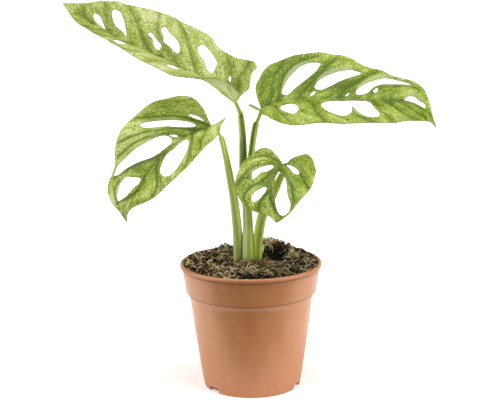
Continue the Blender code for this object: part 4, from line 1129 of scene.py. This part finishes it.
# %% Distances and insides on the flat leaf
SIDES = (("right", 1), ("left", -1))


def mirrored(points, side):
    """Points (s, v) of a half, with v negative on the left one."""
    return [(s, side * v) for s, v in points]


def inside(points, loop):
    """Which points lie inside a closed loop."""
    x, y = points[:, 0, None], points[:, 1, None]
    a = np.array(loop)
    b = np.roll(a, -1, axis=0)
    rise = np.where(b[:, 1] == a[:, 1], 1e-9, b[:, 1] - a[:, 1])
    crossing = (a[:, 1] > y) != (b[:, 1] > y)
    left_of = x < (b[:, 0] - a[:, 0]) * (y - a[:, 1]) / rise + a[:, 0]
    return (crossing & left_of).sum(1) % 2 == 1


def distance(points, line, closed=False):
    """The least distance of each point from a line through several points."""
    a = np.array(line, float)
    b = np.roll(a, -1, axis=0)
    if not closed:
        a, b = a[:-1], b[:-1]
    least = np.full(len(points), 1e9)
    for start, end in zip(a, b):
        along = end - start
        share = limit((points - start) @ along / max(along @ along, 1e-9))
        least = np.minimum(least, np.linalg.norm(start + share[:, None] * along - points, axis=1))
    return least


# %% The net of triangles
NET_STEP = 0.95
NET_ROW = NET_STEP * 0.87
NET_CLEAR = NET_STEP * 0.5


def flat_leaf(leaf, length):
    """Points (s, v), triangles, the margin and the windows of a flat leaf."""
    runs = {}
    windows = []
    for half, side in SIDES:
        run = [(0.0, 0.0)] + mirrored(leaf[half]["margin"], side) + [(length, 0.0)]
        runs[half] = cornered_curve(run, NET_STEP)
        for window in leaf[half]["windows"]:
            windows.append(cornered_curve(mirrored(window, side), NET_STEP, closed=True))
    margin = list(runs["right"]) + list(runs["left"])[-2:0:-1]
    points, edges = [], []
    for loop in [margin] + windows:
        first = len(points)
        points += [tuple(p) for p in loop]
        edges += [(first + i, first + (i + 1) % len(loop)) for i in range(len(loop))]
    low, high = np.array(margin).min(0), np.array(margin).max(0)
    columns, rows = np.meshgrid(np.arange(low[0], high[0], NET_STEP), np.arange(low[1], high[1], NET_ROW))
    columns = columns + (np.arange(len(rows)) % 2)[:, None] * NET_STEP / 2
    net = np.stack([columns.ravel(), rows.ravel()], 1)
    net = net[inside(net, margin)]
    for loop in [margin] + windows:
        net = net[distance(net, loop, closed=True) > NET_CLEAR]
    for window in windows:
        net = net[~inside(net, window)]
    points += [tuple(p) for p in net]
    flat, _, triangles, _, _, _ = delaunay_2d_cdt([Vector(p) for p in points], edges, [], 0, 1e-4)
    flat = np.array([tuple(p) for p in flat])
    triangles = np.array([tuple(t) for t in triangles])
    middles = flat[triangles].mean(1)
    keep = inside(middles, margin)
    for window in windows:
        keep &= ~inside(middles, window)
    used, renumbered = np.unique(triangles[keep], return_inverse=True)
    return flat[used], renumbered.reshape(-1, 3), margin, windows


# %% [markdown]
# ### Relief
#
# On the upper face every side vein lies in a crease and the blade swells between two creases,
# like a quilt. Beside each long window a crescent of the sheet is turned down, on the side
# towards the leaf's base and margin. All of it is a height on the flat leaf. Solidify then
# gives the sheet its thickness, and a vertex group makes it thicker under the midrib, where
# the rib stands out.

# %% How high each point swells
SWELL, SWELL_REACH, SWELL_FADES = 1.35, 5.0, 7
CREASE_DEEP, CREASE_WIDE, CREASE_FADES = 0.5, 0.9, 4
RIB_GROOVE, RIB_GROOVE_WIDE = 0.45, 1.3
PUCKER, PUCKER_FADES = 0.2, 2
TURNED_DROP, TURNED_WIDE = 1.2, 5.6
TURNED_FROM = 6.0
TO_BASE, TO_MARGIN = 0.75, 0.66


def vein_distance(flat, leaf):
    """How far each point is from the nearest side vein."""
    veins = [mirrored(vein, side) for half, side in SIDES for vein in leaf[half]["veins"]]
    return np.min([distance(flat, smooth_curve(vein, 2.0)) for vein in veins], axis=0)


def turned_share(flat, windows):
    """0 to 1 over the crescent that is turned down beside each long window, 1 at the window."""
    share = np.zeros(len(flat))
    steps = np.linspace(0.15, 1, 8)
    for window in windows:
        middle = np.mean(window, axis=0)
        longways = np.linalg.svd(np.array(window) - middle, full_matrices=False)[2][0]
        reach = np.abs((np.array(window) - middle) @ longways).max()
        if reach < TURNED_FROM:
            continue
        wide = TURNED_WIDE * limit(1 - ((flat - middle) @ longways / reach) ** 2)
        side = 1 if middle[1] > 0 else -1
        for step in steps:
            moved = flat + (step * wide)[:, None] * np.array([TO_BASE, -TO_MARGIN * side])
            share += inside(moved, window) / len(steps)
    return limit(share)


def puckers(flat, size, seed):
    """Random small heights on the flat leaf."""
    return np.array([noise.noise(Vector((s / size, v / size, seed))) for s, v in flat])


def relief(flat, to_vein, to_margin, to_window, turned, seed):
    """The height of the upper face over the bent sheet, in millimetres."""
    to_edge = np.minimum(to_margin, to_window)
    swell = SWELL * (1 - bell(to_vein, SWELL_REACH)) * limit(to_edge / SWELL_FADES)
    crease = CREASE_DEEP * bell(to_vein, CREASE_WIDE) * limit(to_edge / CREASE_FADES)
    rib = RIB_GROOVE * bell(flat[:, 1], RIB_GROOVE_WIDE)
    pucker = puckers(flat, 4, seed) + 0.5 * puckers(flat, 1.8, seed + 5)
    pucker = PUCKER * pucker * limit(to_edge / PUCKER_FADES)
    return swell - crease - rib + pucker - TURNED_DROP * turned ** 2


# %% From flat leaf to finished blade
BLADE_THICKNESS = 0.7
RIB_HALF_WIDTH = 1.6
RIB_DEPTH = 1.1
GRAIN_SWEEP = 0.9


def build_blade(name, leaf, materials, seed):
    """Fills, bends and thickens one leaf, and stores what its skin has to know."""
    blade = Blade(leaf)
    flat, triangles, margin, windows = flat_leaf(leaf, blade.length)
    s, v = flat[:, 0], flat[:, 1]
    to_tip = limit(1 - s / blade.length)
    to_vein = vein_distance(flat, leaf)
    to_margin = distance(flat, margin, closed=True)
    to_window = np.min([distance(flat, window, closed=True) for window in windows], axis=0)
    strip = turned_share(flat, windows)
    height = relief(flat, to_vein, to_margin, to_window, strip * leaf["turned"], seed) + BLADE_THICKNESS / 2
    points = blade.point(s, v) + blade.normal(s, v) * height[:, None]
    corner = flat[triangles]
    turn = np.cross(corner[:, 1] - corner[:, 0], corner[:, 2] - corner[:, 0])
    triangles = np.where((turn < 0)[:, None], triangles, triangles[:, ::-1])

    mesh = bpy.data.meshes.new(name)
    mesh.from_pydata((points * MM).tolist(), [], triangles.tolist())
    piece = add_object(name, mesh)
    corners = np.array([loop.vertex_index for loop in mesh.loops])
    grain = np.stack([s - GRAIN_SWEEP * np.abs(v), v], 1)
    for map_name, places in (("flat", flat), ("grain", grain)):
        places = (places + (50 + 70 * seed, 100)) * MM
        mesh.uv_layers.new(name=map_name).data.foreach_set("uv", places[corners].ravel())

    pale = np.full(len(flat), float(leaf["pale"]))
    # The spots add cream, and also paint light and shade over large zones of the blade.
    for spot_s, spot_v, spread, amount in leaf["spots"]:
        pale += amount * np.exp(-((s - spot_s) ** 2 + (v - spot_v) ** 2) / (2 * spread ** 2))
    # Besides the cream, these masks place painted shade in the creases, a painted sheen on the midrib, a
    # painted shadow line in its groove and a painted highlight on the turned crescents.
    shades = {
        "pale": pale,
        "vein": bell(to_vein, 4.0),
        "crease": leaf["crease_shade"] * bell(to_vein, 0.95) * limit(to_margin / 3),
        "rib": bell(v, 1.5) * limit(1.15 - s / blade.length),
        "rib_shade_line": bell(v, 0.6),
        "turned": leaf["turned"] * limit((strip - 0.2) / 0.25),
        "rim": limit(1 - to_window / 0.7),
        "margin": limit(1 - to_margin / 0.9),
    }
    for shade, values in shades.items():
        paint(mesh, shade, values)

    for material in materials:
        mesh.materials.append(material)
    thick = piece.vertex_groups.new(name="thick")
    depth = RIB_DEPTH * limit(1 - np.abs(v) / RIB_HALF_WIDTH) * (0.25 + 0.75 * to_tip)
    for i, extra in enumerate(depth):
        thick.add([i], (BLADE_THICKNESS + extra) / (BLADE_THICKNESS + RIB_DEPTH), "REPLACE")
    apply_modifier(piece, "SOLIDIFY", thickness=(BLADE_THICKNESS + RIB_DEPTH) * MM, offset=-1,
                   vertex_group="thick", material_offset=1, material_offset_rim=0)
    soften(piece, 60)
    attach(piece, "root")
    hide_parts(name.replace("blade_", "leaf_"))
    print(name + ":", len(mesh.polygons), "faces")


# %% [markdown]
# ### Leaf skin
#
# The upper skin is waxy: a soft shine over a green that is broken into a fine mosaic. Cells
# without chlorophyll show as cream speckles less than a millimetre across. They are thick
# between the side veins, scarce beside them, and drawn out along them as the leaf grew. Fine
# noise, large patches, a net of cells and bright dots are added up into one tone, and a ramp
# of five greens turns the tone into colour, from the deepest green to cream.
#
# Lines are then laid over the mosaic, each where an attribute of the mesh says: painted shade in the creases
# over the side veins, and a painted grey green sheen on the midrib with a painted shadow line in its groove.
# There is also a painted highlight on the crescents that are turned down, and there are the brownish rims of
# the margin and the windows. One leaf is paler than the rest and one is deeper green, so there are three
# skins.

# %% A waxy speckled upper skin
SPECK, PATCH, DOT, CELL = 1.15 * MM, 7 * MM, 1.5 * MM, 2.4 * MM
TONE_PLACES = (0.15, 0.33, 0.5, 0.68, 0.88)
# Laid over the mosaic: painted shade in the creases, a painted sheen on the midrib, a painted shadow line in
# its groove and a painted highlight on the turned crescents.
LAID_OVER = (("crease", 0.9, "#465A16"), ("rib", 0.45, "#8A9762"), ("rib_shade_line", 0.45, "#4F6424"),
             ("turned", 0.75, "#B4C084"), ("margin", 0.4, "#7E8C48"), ("rim", 0.5, "#77733C"))


def leaf_skin(name, tones, roughness):
    """A skin with five tones, from deep green to cream, and a soft shine."""
    material, tree, shader = new_material(name, roughness, 1.42, 0.28)
    flat = add_node(tree, "UVMap", uv_map="flat")
    grain = add_node(tree, "UVMap", uv_map="grain")
    read = {shade: add_node(tree, "Attribute", attribute_name=shade).outputs["Fac"]
            for shade in ("pale", "vein", *(layer[0] for layer in LAID_OVER))}
    drawn = add_node(tree, "Mapping", {"Vector": grain, "Scale": (1.0, 0.6, 1.0)})
    specks = add_node(tree, "TexNoise", {"Vector": drawn, "Scale": 1 / SPECK, "Detail": 3.0,
                                         "Roughness": 0.7})
    patches = add_node(tree, "TexNoise", {"Vector": drawn, "Scale": 1 / PATCH, "Detail": 3.0})
    dots = add_node(tree, "TexVoronoi", {"Vector": flat, "Scale": 1 / DOT})
    sparks = add_node(tree, "MapRange", {"Value": dots, "From Min": 0.38, "From Max": 0.12})
    net = add_node(tree, "TexVoronoi", {"Vector": flat, "Scale": 1 / CELL}, feature="DISTANCE_TO_EDGE")
    cells = add_node(tree, "MapRange", {"Value": net, "From Max": 0.15})
    tone = -0.08
    for part, weight in ((specks, 1.0), (patches, 0.7), (cells, 0.1), (read["pale"], 0.7), (sparks, 0.22),
                         (read["vein"], -0.1)):
        tone = add_node(tree, "Math", {0: part, 1: weight, 2: tone}, operation="MULTIPLY_ADD")
    share = add_node(tree, "MapRange", {"Value": tone, "From Min": 0.76, "From Max": 1.37})
    skin_colour = add_node(tree, "ValToRGB", {0: share})
    fill_ramp(skin_colour, list(zip(TONE_PLACES, tones)))
    for shade, strength, code in LAID_OVER:
        amount = add_node(tree, "Math", {0: read[shade], 1: strength}, operation="MULTIPLY")
        skin_colour = add_node(tree, "Mix", {0: amount, 6: skin_colour, 7: code}, data_type="RGBA")
    coarse = add_node(tree, "Bump", {"Height": cells, "Strength": 0.5, "Distance": 0.16 * MM})
    skin = add_node(tree, "Bump", {"Height": specks, "Strength": 0.5, "Distance": 0.3 * MM, "Normal": coarse})
    varied = add_node(tree, "MapRange", {"Value": patches, "From Min": 0.35, "From Max": 0.65,
                                       "To Min": roughness - 0.06, "To Max": roughness + 0.08})
    feed(shader, {"Base Color": skin_colour, "Normal": skin, "Roughness": varied})
    return material


PALE_TONES = ("#667920", "#819234", "#9AA84A", "#B4BF67", "#D6D8A3")
GREEN_TONES = ("#5A7016", "#758D27", "#91A53B", "#ACBC54", "#CFD68C")
LIGHT_TONES = ("#5B7019", "#778E2A", "#93A63F", "#B0BF5A", "#D4D998")
pale_skin = leaf_skin("waxy leaf skin, pale", PALE_TONES, 0.46)
green_skin = leaf_skin("waxy leaf skin, green", GREEN_TONES, 0.42)
light_skin = leaf_skin("waxy leaf skin, light green", LIGHT_TONES, 0.42)

# %% [markdown]
# The underside has no wax and no mosaic. It is matt and paler, and the veins under it show as
# faint streaks that run outwards from the midrib.

# %% The underside, and the four blades
UNDER_STREAK = 1.8 * MM

underside, tree, shader = new_material("leaf underside, matt", 0.6, 1.4)
flat = add_node(tree, "UVMap", uv_map="flat")
drawn = add_node(tree, "Mapping", {"Vector": flat, "Scale": (0.25, 1.0, 1.0)})
streaks = add_node(tree, "TexNoise", {"Vector": drawn, "Scale": 1 / UNDER_STREAK, "Detail": 3.0})
under_tone = add_node(tree, "MapRange", {"Value": streaks, "From Min": 0.35, "From Max": 0.65})
under_colour = add_node(tree, "Mix", {0: under_tone, 6: "#B7C865", 7: "#E0E89E"}, data_type="RGBA")
bump = add_node(tree, "Bump", {"Height": streaks, "Strength": 0.4, "Distance": 0.2 * MM})
feed(shader, {"Base Color": under_colour, "Normal": bump})

build_blade("blade_upper_left", LEAVES["upper_left"], (pale_skin, underside), 1)
build_blade("blade_upper_right", LEAVES["upper_right"], (green_skin, underside), 2)
build_blade("blade_mid_left", LEAVES["mid_left"], (light_skin, underside), 3)
build_blade("blade_front", LEAVES["front"], (light_skin, underside), 4)

# %% [markdown]
# ## The stalks
#
# Each leaf stands on a stalk whose lower part is a sheath: a half tube that once wrapped the
# next leaf, and now opens into a channel with thin pale wings. Above the sheath a slim joint
# turns the blade to the light. A curve with a bevel would give a round stalk, but no channel
# that opens slowly. So the stalk is a grid rolled into a tube: its columns go round the
# section and its rows are carried along the route.

# %% Routes, widths and channels
STALKS = {
    "upper_left": {
        "route": ((-2, 1.5, 112), (-2, 2, 125), (-1.9, 2.5, 134), (-2.3, 3, 150), (-4, 4, 168),
                  (-5.2, 5.5, 185), (-5.3, 7, 201.5), (-5.5, 8, 214), (-6.3, 9, 223), (-7.2, 10, 230.5),
                  (-8.4, 10.5, 235), (-9.6, 11, 238.5)),
        "widths": ((112, 9.3), (125, 9.2), (134, 8.0), (150, 7.9), (168, 7.6), (185, 7.1), (201, 6.5),
                   (214, 5.8), (223, 6.0), (230, 5.7)),
        "sheath_top": 230.5,
        "joint": 3.8,
        "tips": (0.8, 5.0),
        "opens": -70,
    },
    "upper_right": {
        "route": ((-1.5, 9.5, 112), (-1.6, 10.5, 132), (-1.6, 11, 162), (-0.2, 11.5, 181), (1.8, 12, 197),
                  (2.8, 12, 204.7), (4.7, 12, 216.6), (6.3, 12, 223.3), (8.1, 12, 227.5), (9.3, 12, 231)),
        "widths": ((112, 7.2), (132, 7.4), (162, 6.6), (181, 5.6), (197, 5.7), (205, 5.5), (216, 5.4),
                   (223, 5.2)),
        "sheath_top": 223.5,
        "joint": 3.2,
        "tips": (0.5, 1.2),
        "opens": -125,
    },
    "mid_left": {
        "route": ((-10.4, 4, 112), (-10.6, 3.5, 122), (-11.1, 2.5, 134), (-13.3, 1.5, 158), (-17, 0, 181.6),
                  (-19.9, -1, 198.7), (-22.7, -2, 211.5), (-24.9, -2.5, 217), (-28, -3, 221)),
        "widths": ((112, 8.3), (122, 8.5), (134, 7.9), (158, 7.7), (182, 6.4), (199, 5.4), (211, 5.0)),
        "sheath_top": 213.8,
        "joint": 2.8,
        "tips": (0.4, 1.6),
        "opens": -50,
    },
    "front": {
        "route": ((5.9, 1.5, 112), (6.4, 1.2, 125), (7.5, 0, 134), (10.3, -2, 147.5), (14.2, -3.7, 155.5),
                  (17.4, -5.5, 161.7), (22.9, -8.5, 174.4), (25.7, -10.3, 181.2), (27.6, -12, 187)),
        "widths": ((112, 7.0), (117, 7.2), (125, 7.5), (134, 8.0), (147, 8.0), (156, 7.8), (162, 7.4),
                   (174, 6.8), (181, 5.8)),
        "sheath_top": 184.0,
        "joint": 2.6,
        "tips": (0.8, 0.8),
        "opens": -115,
    },
}

# %% [markdown]
# ### The section
#
# The back of the section is the larger part of a flattened circle. Its front is drawn twice,
# closed and with the channel open, and a share between 0 and 1 blends one into the other.

# %% The section, from round to channelled
BACK_DEGREES = 118
BACK_POINTS = 23
FLATNESS = 0.82
WING_SHARE = 0.16


def stalk_section(width, channel):
    """Points (sideways, forwards) round a stalk, from a closed front to a channel with wings."""
    a, b = width / 2, width / 2 * FLATNESS
    bound = math.radians(BACK_DEGREES)
    back = [(a * math.sin(t), -b * math.cos(t)) for t in np.linspace(-bound, bound, BACK_POINTS)]
    edge, tip = a * math.sin(bound), -b * math.cos(bound)
    wing = WING_SHARE * width
    opened = [(edge * 0.99, tip + wing * 0.6), (edge * 0.93, tip + wing), (edge * 0.84, tip + wing * 0.75),
              (edge * 0.74, tip + 0.1 * b), (edge * 0.6, tip - 0.2 * b), (edge * 0.38, tip - 0.36 * b),
              (edge * 0.14, tip - 0.42 * b)]
    opened += [(-x, y) for x, y in opened[::-1]]
    front = []
    for k, (x, y) in enumerate(opened):
        side = edge * (1 - 2 * (k + 1) / (len(opened) + 1))
        round_front = b * math.sqrt(1 - (side / a) ** 2)
        front.append((side * (1 - channel) + x * channel, round_front * (1 - channel) + y * channel))
    return back + front


def ring(centre, side, forward, width, channel=0):
    """The section's points in space, round a centre."""
    return np.array([centre + u * side + w * forward for u, w in stalk_section(width, channel)])


# %% Rings along the route
STALK_FOOT = (85.3, 92, 98, 104, 108)
CLOSED_Z, OPEN_Z, MOST_OPEN = 122.0, 185.0, 0.85
RING_STEP = 1.5
SHEATH_ENDS = 0.6
RIGHT_WING, LEFT_WING = slice(22, 25), slice(-4, -1)
JOINT_NARROWS = 2.2
UNDER_RIB = BLADE_THICKNESS / 2 + 0.6
UNDER_BLADE = ((3.5, 2.2), (8.0, 1.6), (13.0, 0.5))
FLARE, FLARE_TOP, FLARE_TALL = 0.11, 165, 35


def flare(z):
    """How much wider the stalk is near the compost, where the sheaths press on each other."""
    return 1 + FLARE * limit((FLARE_TOP - z) / FLARE_TALL)


def stalk_rings(stalk, blade):
    """Rings of points from the foot to under the midrib."""
    base = blade.point(1.0, 0.0)
    route = [np.array(p, float) for p in stalk["route"] if np.linalg.norm(np.array(p) - base) > 5]
    heading = unit(base - route[-1])
    end = base - heading * UNDER_RIB / np.dot(heading, blade.up[0])
    route = np.array(smooth_curve(route + [end], 0.5))
    run = run_along(route)
    opens = math.radians(stalk["opens"])
    opens = np.array([math.cos(opens), math.sin(opens), 0])
    widths = np.array(stalk["widths"], float)
    sheath_top = float(np.interp(stalk["sheath_top"], route[:, 2], run))
    rings = []
    for z in STALK_FOOT:
        centre = np.array([route[0][0], route[0][1], z])
        rings.append(ring(centre, np.array([opens[1], -opens[0], 0]), opens, widths[0][1] * flare(z)))
    stops = list(np.arange(0, sheath_top - RING_STEP, RING_STEP))
    stops += [sheath_top - SHEATH_ENDS, sheath_top, sheath_top + SHEATH_ENDS]
    stops += list(np.linspace(sheath_top + 1.6, run[-1], 10))
    for stop in stops:
        centre, ahead, behind = (np.array([np.interp(at, run, route[:, k]) for k in range(3)])
                                 for at in (stop, stop + 1, stop - 1))
        along = np.array([0, 0, 1.0]) if stop == 0 else unit(ahead - behind)
        forward = unit(opens - np.dot(opens, along) * along)
        sideways = np.cross(forward, along)
        width = np.interp(centre[2], widths[:, 0], widths[:, 1]) * flare(centre[2])
        channel = MOST_OPEN * limit((centre[2] - CLOSED_Z) / (OPEN_Z - CLOSED_Z))
        narrow = limit((stop - sheath_top + 1) / JOINT_NARROWS)
        narrow = narrow * narrow * (3 - 2 * narrow)
        width = width * (1 - narrow) + stalk["joint"] * narrow
        rings.append(ring(centre, sideways, forward, width, channel * (1 - narrow)))
        if stop == sheath_top - SHEATH_ENDS:
            for wing, tall in zip((RIGHT_WING, LEFT_WING), stalk["tips"]):
                rings[-1][wing] += along * tall
    for s, wide in UNDER_BLADE:
        centre = blade.point(s, 0.0) - blade.up[0] * UNDER_RIB
        along, side = blade.along[0], blade.across[0]
        rings.append(ring(centre, side, np.cross(side, along), wide))
    return np.array(rings)


# %% Rolling the grid
def build_stalk(name, stalk, leaf, material):
    """Rolls a grid into a tube along the route and closes its two ends."""
    rings = stalk_rings(stalk, Blade(leaf))
    rows, columns = rings.shape[:2]
    let_go()
    bpy.ops.mesh.primitive_grid_add(x_subdivisions=columns, y_subdivisions=rows - 1, size=1)
    piece = bpy.context.object
    piece.name = name
    mesh = piece.data
    order = [(round((v.co.x + 0.5) * columns), round((v.co.y + 0.5) * (rows - 1))) for v in mesh.vertices]
    run = run_along(rings.mean(1))
    paint(mesh, "round", [column / columns for column, row in order])
    paint(mesh, "along", [run[row] / run[-1] for column, row in order])
    for vertex, (column, row) in zip(mesh.vertices, order):
        vertex.co = rings[row][column % columns] * MM
    edit("SELECT", "EDGE")
    bpy.ops.mesh.remove_doubles(threshold=0.01 * MM)
    bpy.ops.mesh.select_all(action="DESELECT")
    bpy.ops.mesh.select_non_manifold()
    bpy.ops.mesh.edge_face_add()
    turn_outwards()
    mesh.materials.append(material)
    soften(piece, 50)
    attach(piece, "root")
    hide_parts(name)
    print(name + ":", len(mesh.polygons), "faces")


# %% [markdown]
# ### Stalk skin
#
# The stalk is smooth and juicy, with a thin wax that gives it a narrow highlight and with light scattered
# inside it, which softens its shadows. Its colour follows the strands inside: fine streaks run its whole
# length, and the thin wings of the sheath are nearly without green. So a ramp of colours runs round the
# section, from one wing over the back to the other and across the channel. The ramp also holds painted light
# and shade: it is lighter on a side that light shines through and darker on a side that a neighbour shades.
# The foot has painted shade, a deeper green where the stalks crowd together, and so does one stretch of the
# tallest stalk. The stalks differ in tone and in light, so each has its own table of colours and its own
# stretch of painted shade: (start, end, how deep), where 0 leaves it as it is.

# %% Streaked green stalk
AROUND = (0.0, 0.12, 0.46, 0.55, 0.66, 0.72, 0.8, 0.88)
FINE_STREAKS = 26.0
# Painted shade at the foot, where the stalks crowd together: from, to, how deep.
FOOT_SHADE_FROM, FOOT_SHADE_TO, FOOT_SHADE_DEEP = 0.26, 0.04, 0.6


def stalk_skin(name, tones, start, end, deep):
    """Streaked green, with painted light and shade. tones: right wing, back, left wing, then across the
    channel from the left.
    The stalk gets painted shade, a deeper green, from start to end, which are shares of its length."""
    material, tree, shader = new_material(name, 0.36, 1.42, 0.35)
    feed(shader, {"Subsurface Weight": 0.5, "Subsurface Radius": (1.0, 1.0, 0.6), "Subsurface Scale": 4 * MM})
    around, along = (add_node(tree, "Attribute", attribute_name=way).outputs["Fac"]
                     for way in ("round", "along"))
    ramp = add_node(tree, "ValToRGB", {0: around})
    fill_ramp(ramp, list(zip(AROUND, (*tones[:2], *tones[1:]))))
    spread = add_node(tree, "CombineXYZ", {0: around, 1: along})
    streaks = add_node(tree, "TexNoise", {"Vector": spread, "Scale": FINE_STREAKS, "Detail": 3.0})
    thin = add_node(tree, "MapRange", {"Value": streaks, "From Min": 0.35, "From Max": 0.65, "To Max": 0.3})
    streaked = add_node(tree, "Mix", {0: thin, 6: ramp, 7: "#D3DA8E"}, data_type="RGBA")
    # Painted shade: a deeper green along the stretch and at the foot.
    middle = add_node(tree, "Math", {0: along, 1: (start + end) / 2}, operation="SUBTRACT")
    off = add_node(tree, "Math", {0: middle}, operation="ABSOLUTE")
    half = (end - start) / 2
    stretch = add_node(tree, "MapRange", {"Value": off, "From Min": half + 0.06, "From Max": half - 0.04,
                                          "To Max": deep})
    foot_shade = add_node(tree, "MapRange", {"Value": along, "From Min": FOOT_SHADE_FROM, "From Max": FOOT_SHADE_TO,
                                       "To Max": FOOT_SHADE_DEEP})
    deepest_shade = add_node(tree, "Math", {0: stretch, 1: foot_shade}, operation="MAXIMUM")
    shade = add_node(tree, "Mix", {0: deepest_shade, 6: streaked, 7: "#5C7313"}, data_type="RGBA")
    bump = add_node(tree, "Bump", {"Height": streaks, "Strength": 0.15, "Distance": 0.15 * MM})
    feed(shader, {"Base Color": shade, "Normal": bump})
    return material


# Each table mixes the stalk's own colours with painted light and shade round the section.
STALK_TONES_AND_LIGHT = {
    "upper_left": ("#C4D078", "#8FA03A", "#D8DEAC", "#D4DC9C", "#98AC46", "#82982E", "#B4C854"),
    "upper_right": ("#B0BE64", "#8FA23A", "#C4CC7A", "#B8C660", "#A0AE4A", "#95A53E", "#A8B852"),
    "mid_left": ("#D8E090", "#8A9E3A", "#CCD49A", "#86993C", "#869C38", "#BCCC60", "#CEDC74"),
    "front": ("#94A23E", "#9FAE44", "#E6EE98", "#E2EE80", "#D0E062", "#A8BC42", "#82942E"),
}
# Stretches of painted shade on each stalk: (start, end, how deep).
PAINTED_SHADE_STRETCHES = {
    "upper_left": (0.52, 0.76, 0.75),
    "upper_right": (0.1, 0.2, 0.0),
    "mid_left": (0.0, 0.1, 0.0),
    "front": (0.1, 0.2, 0.0),
}
for place, tones in STALK_TONES_AND_LIGHT.items():
    skin = stalk_skin("waxy stalk skin, " + place.replace("_", " "), tones, *PAINTED_SHADE_STRETCHES[place])
    build_stalk("stalk_" + place, STALKS[place], LEAVES[place], skin)
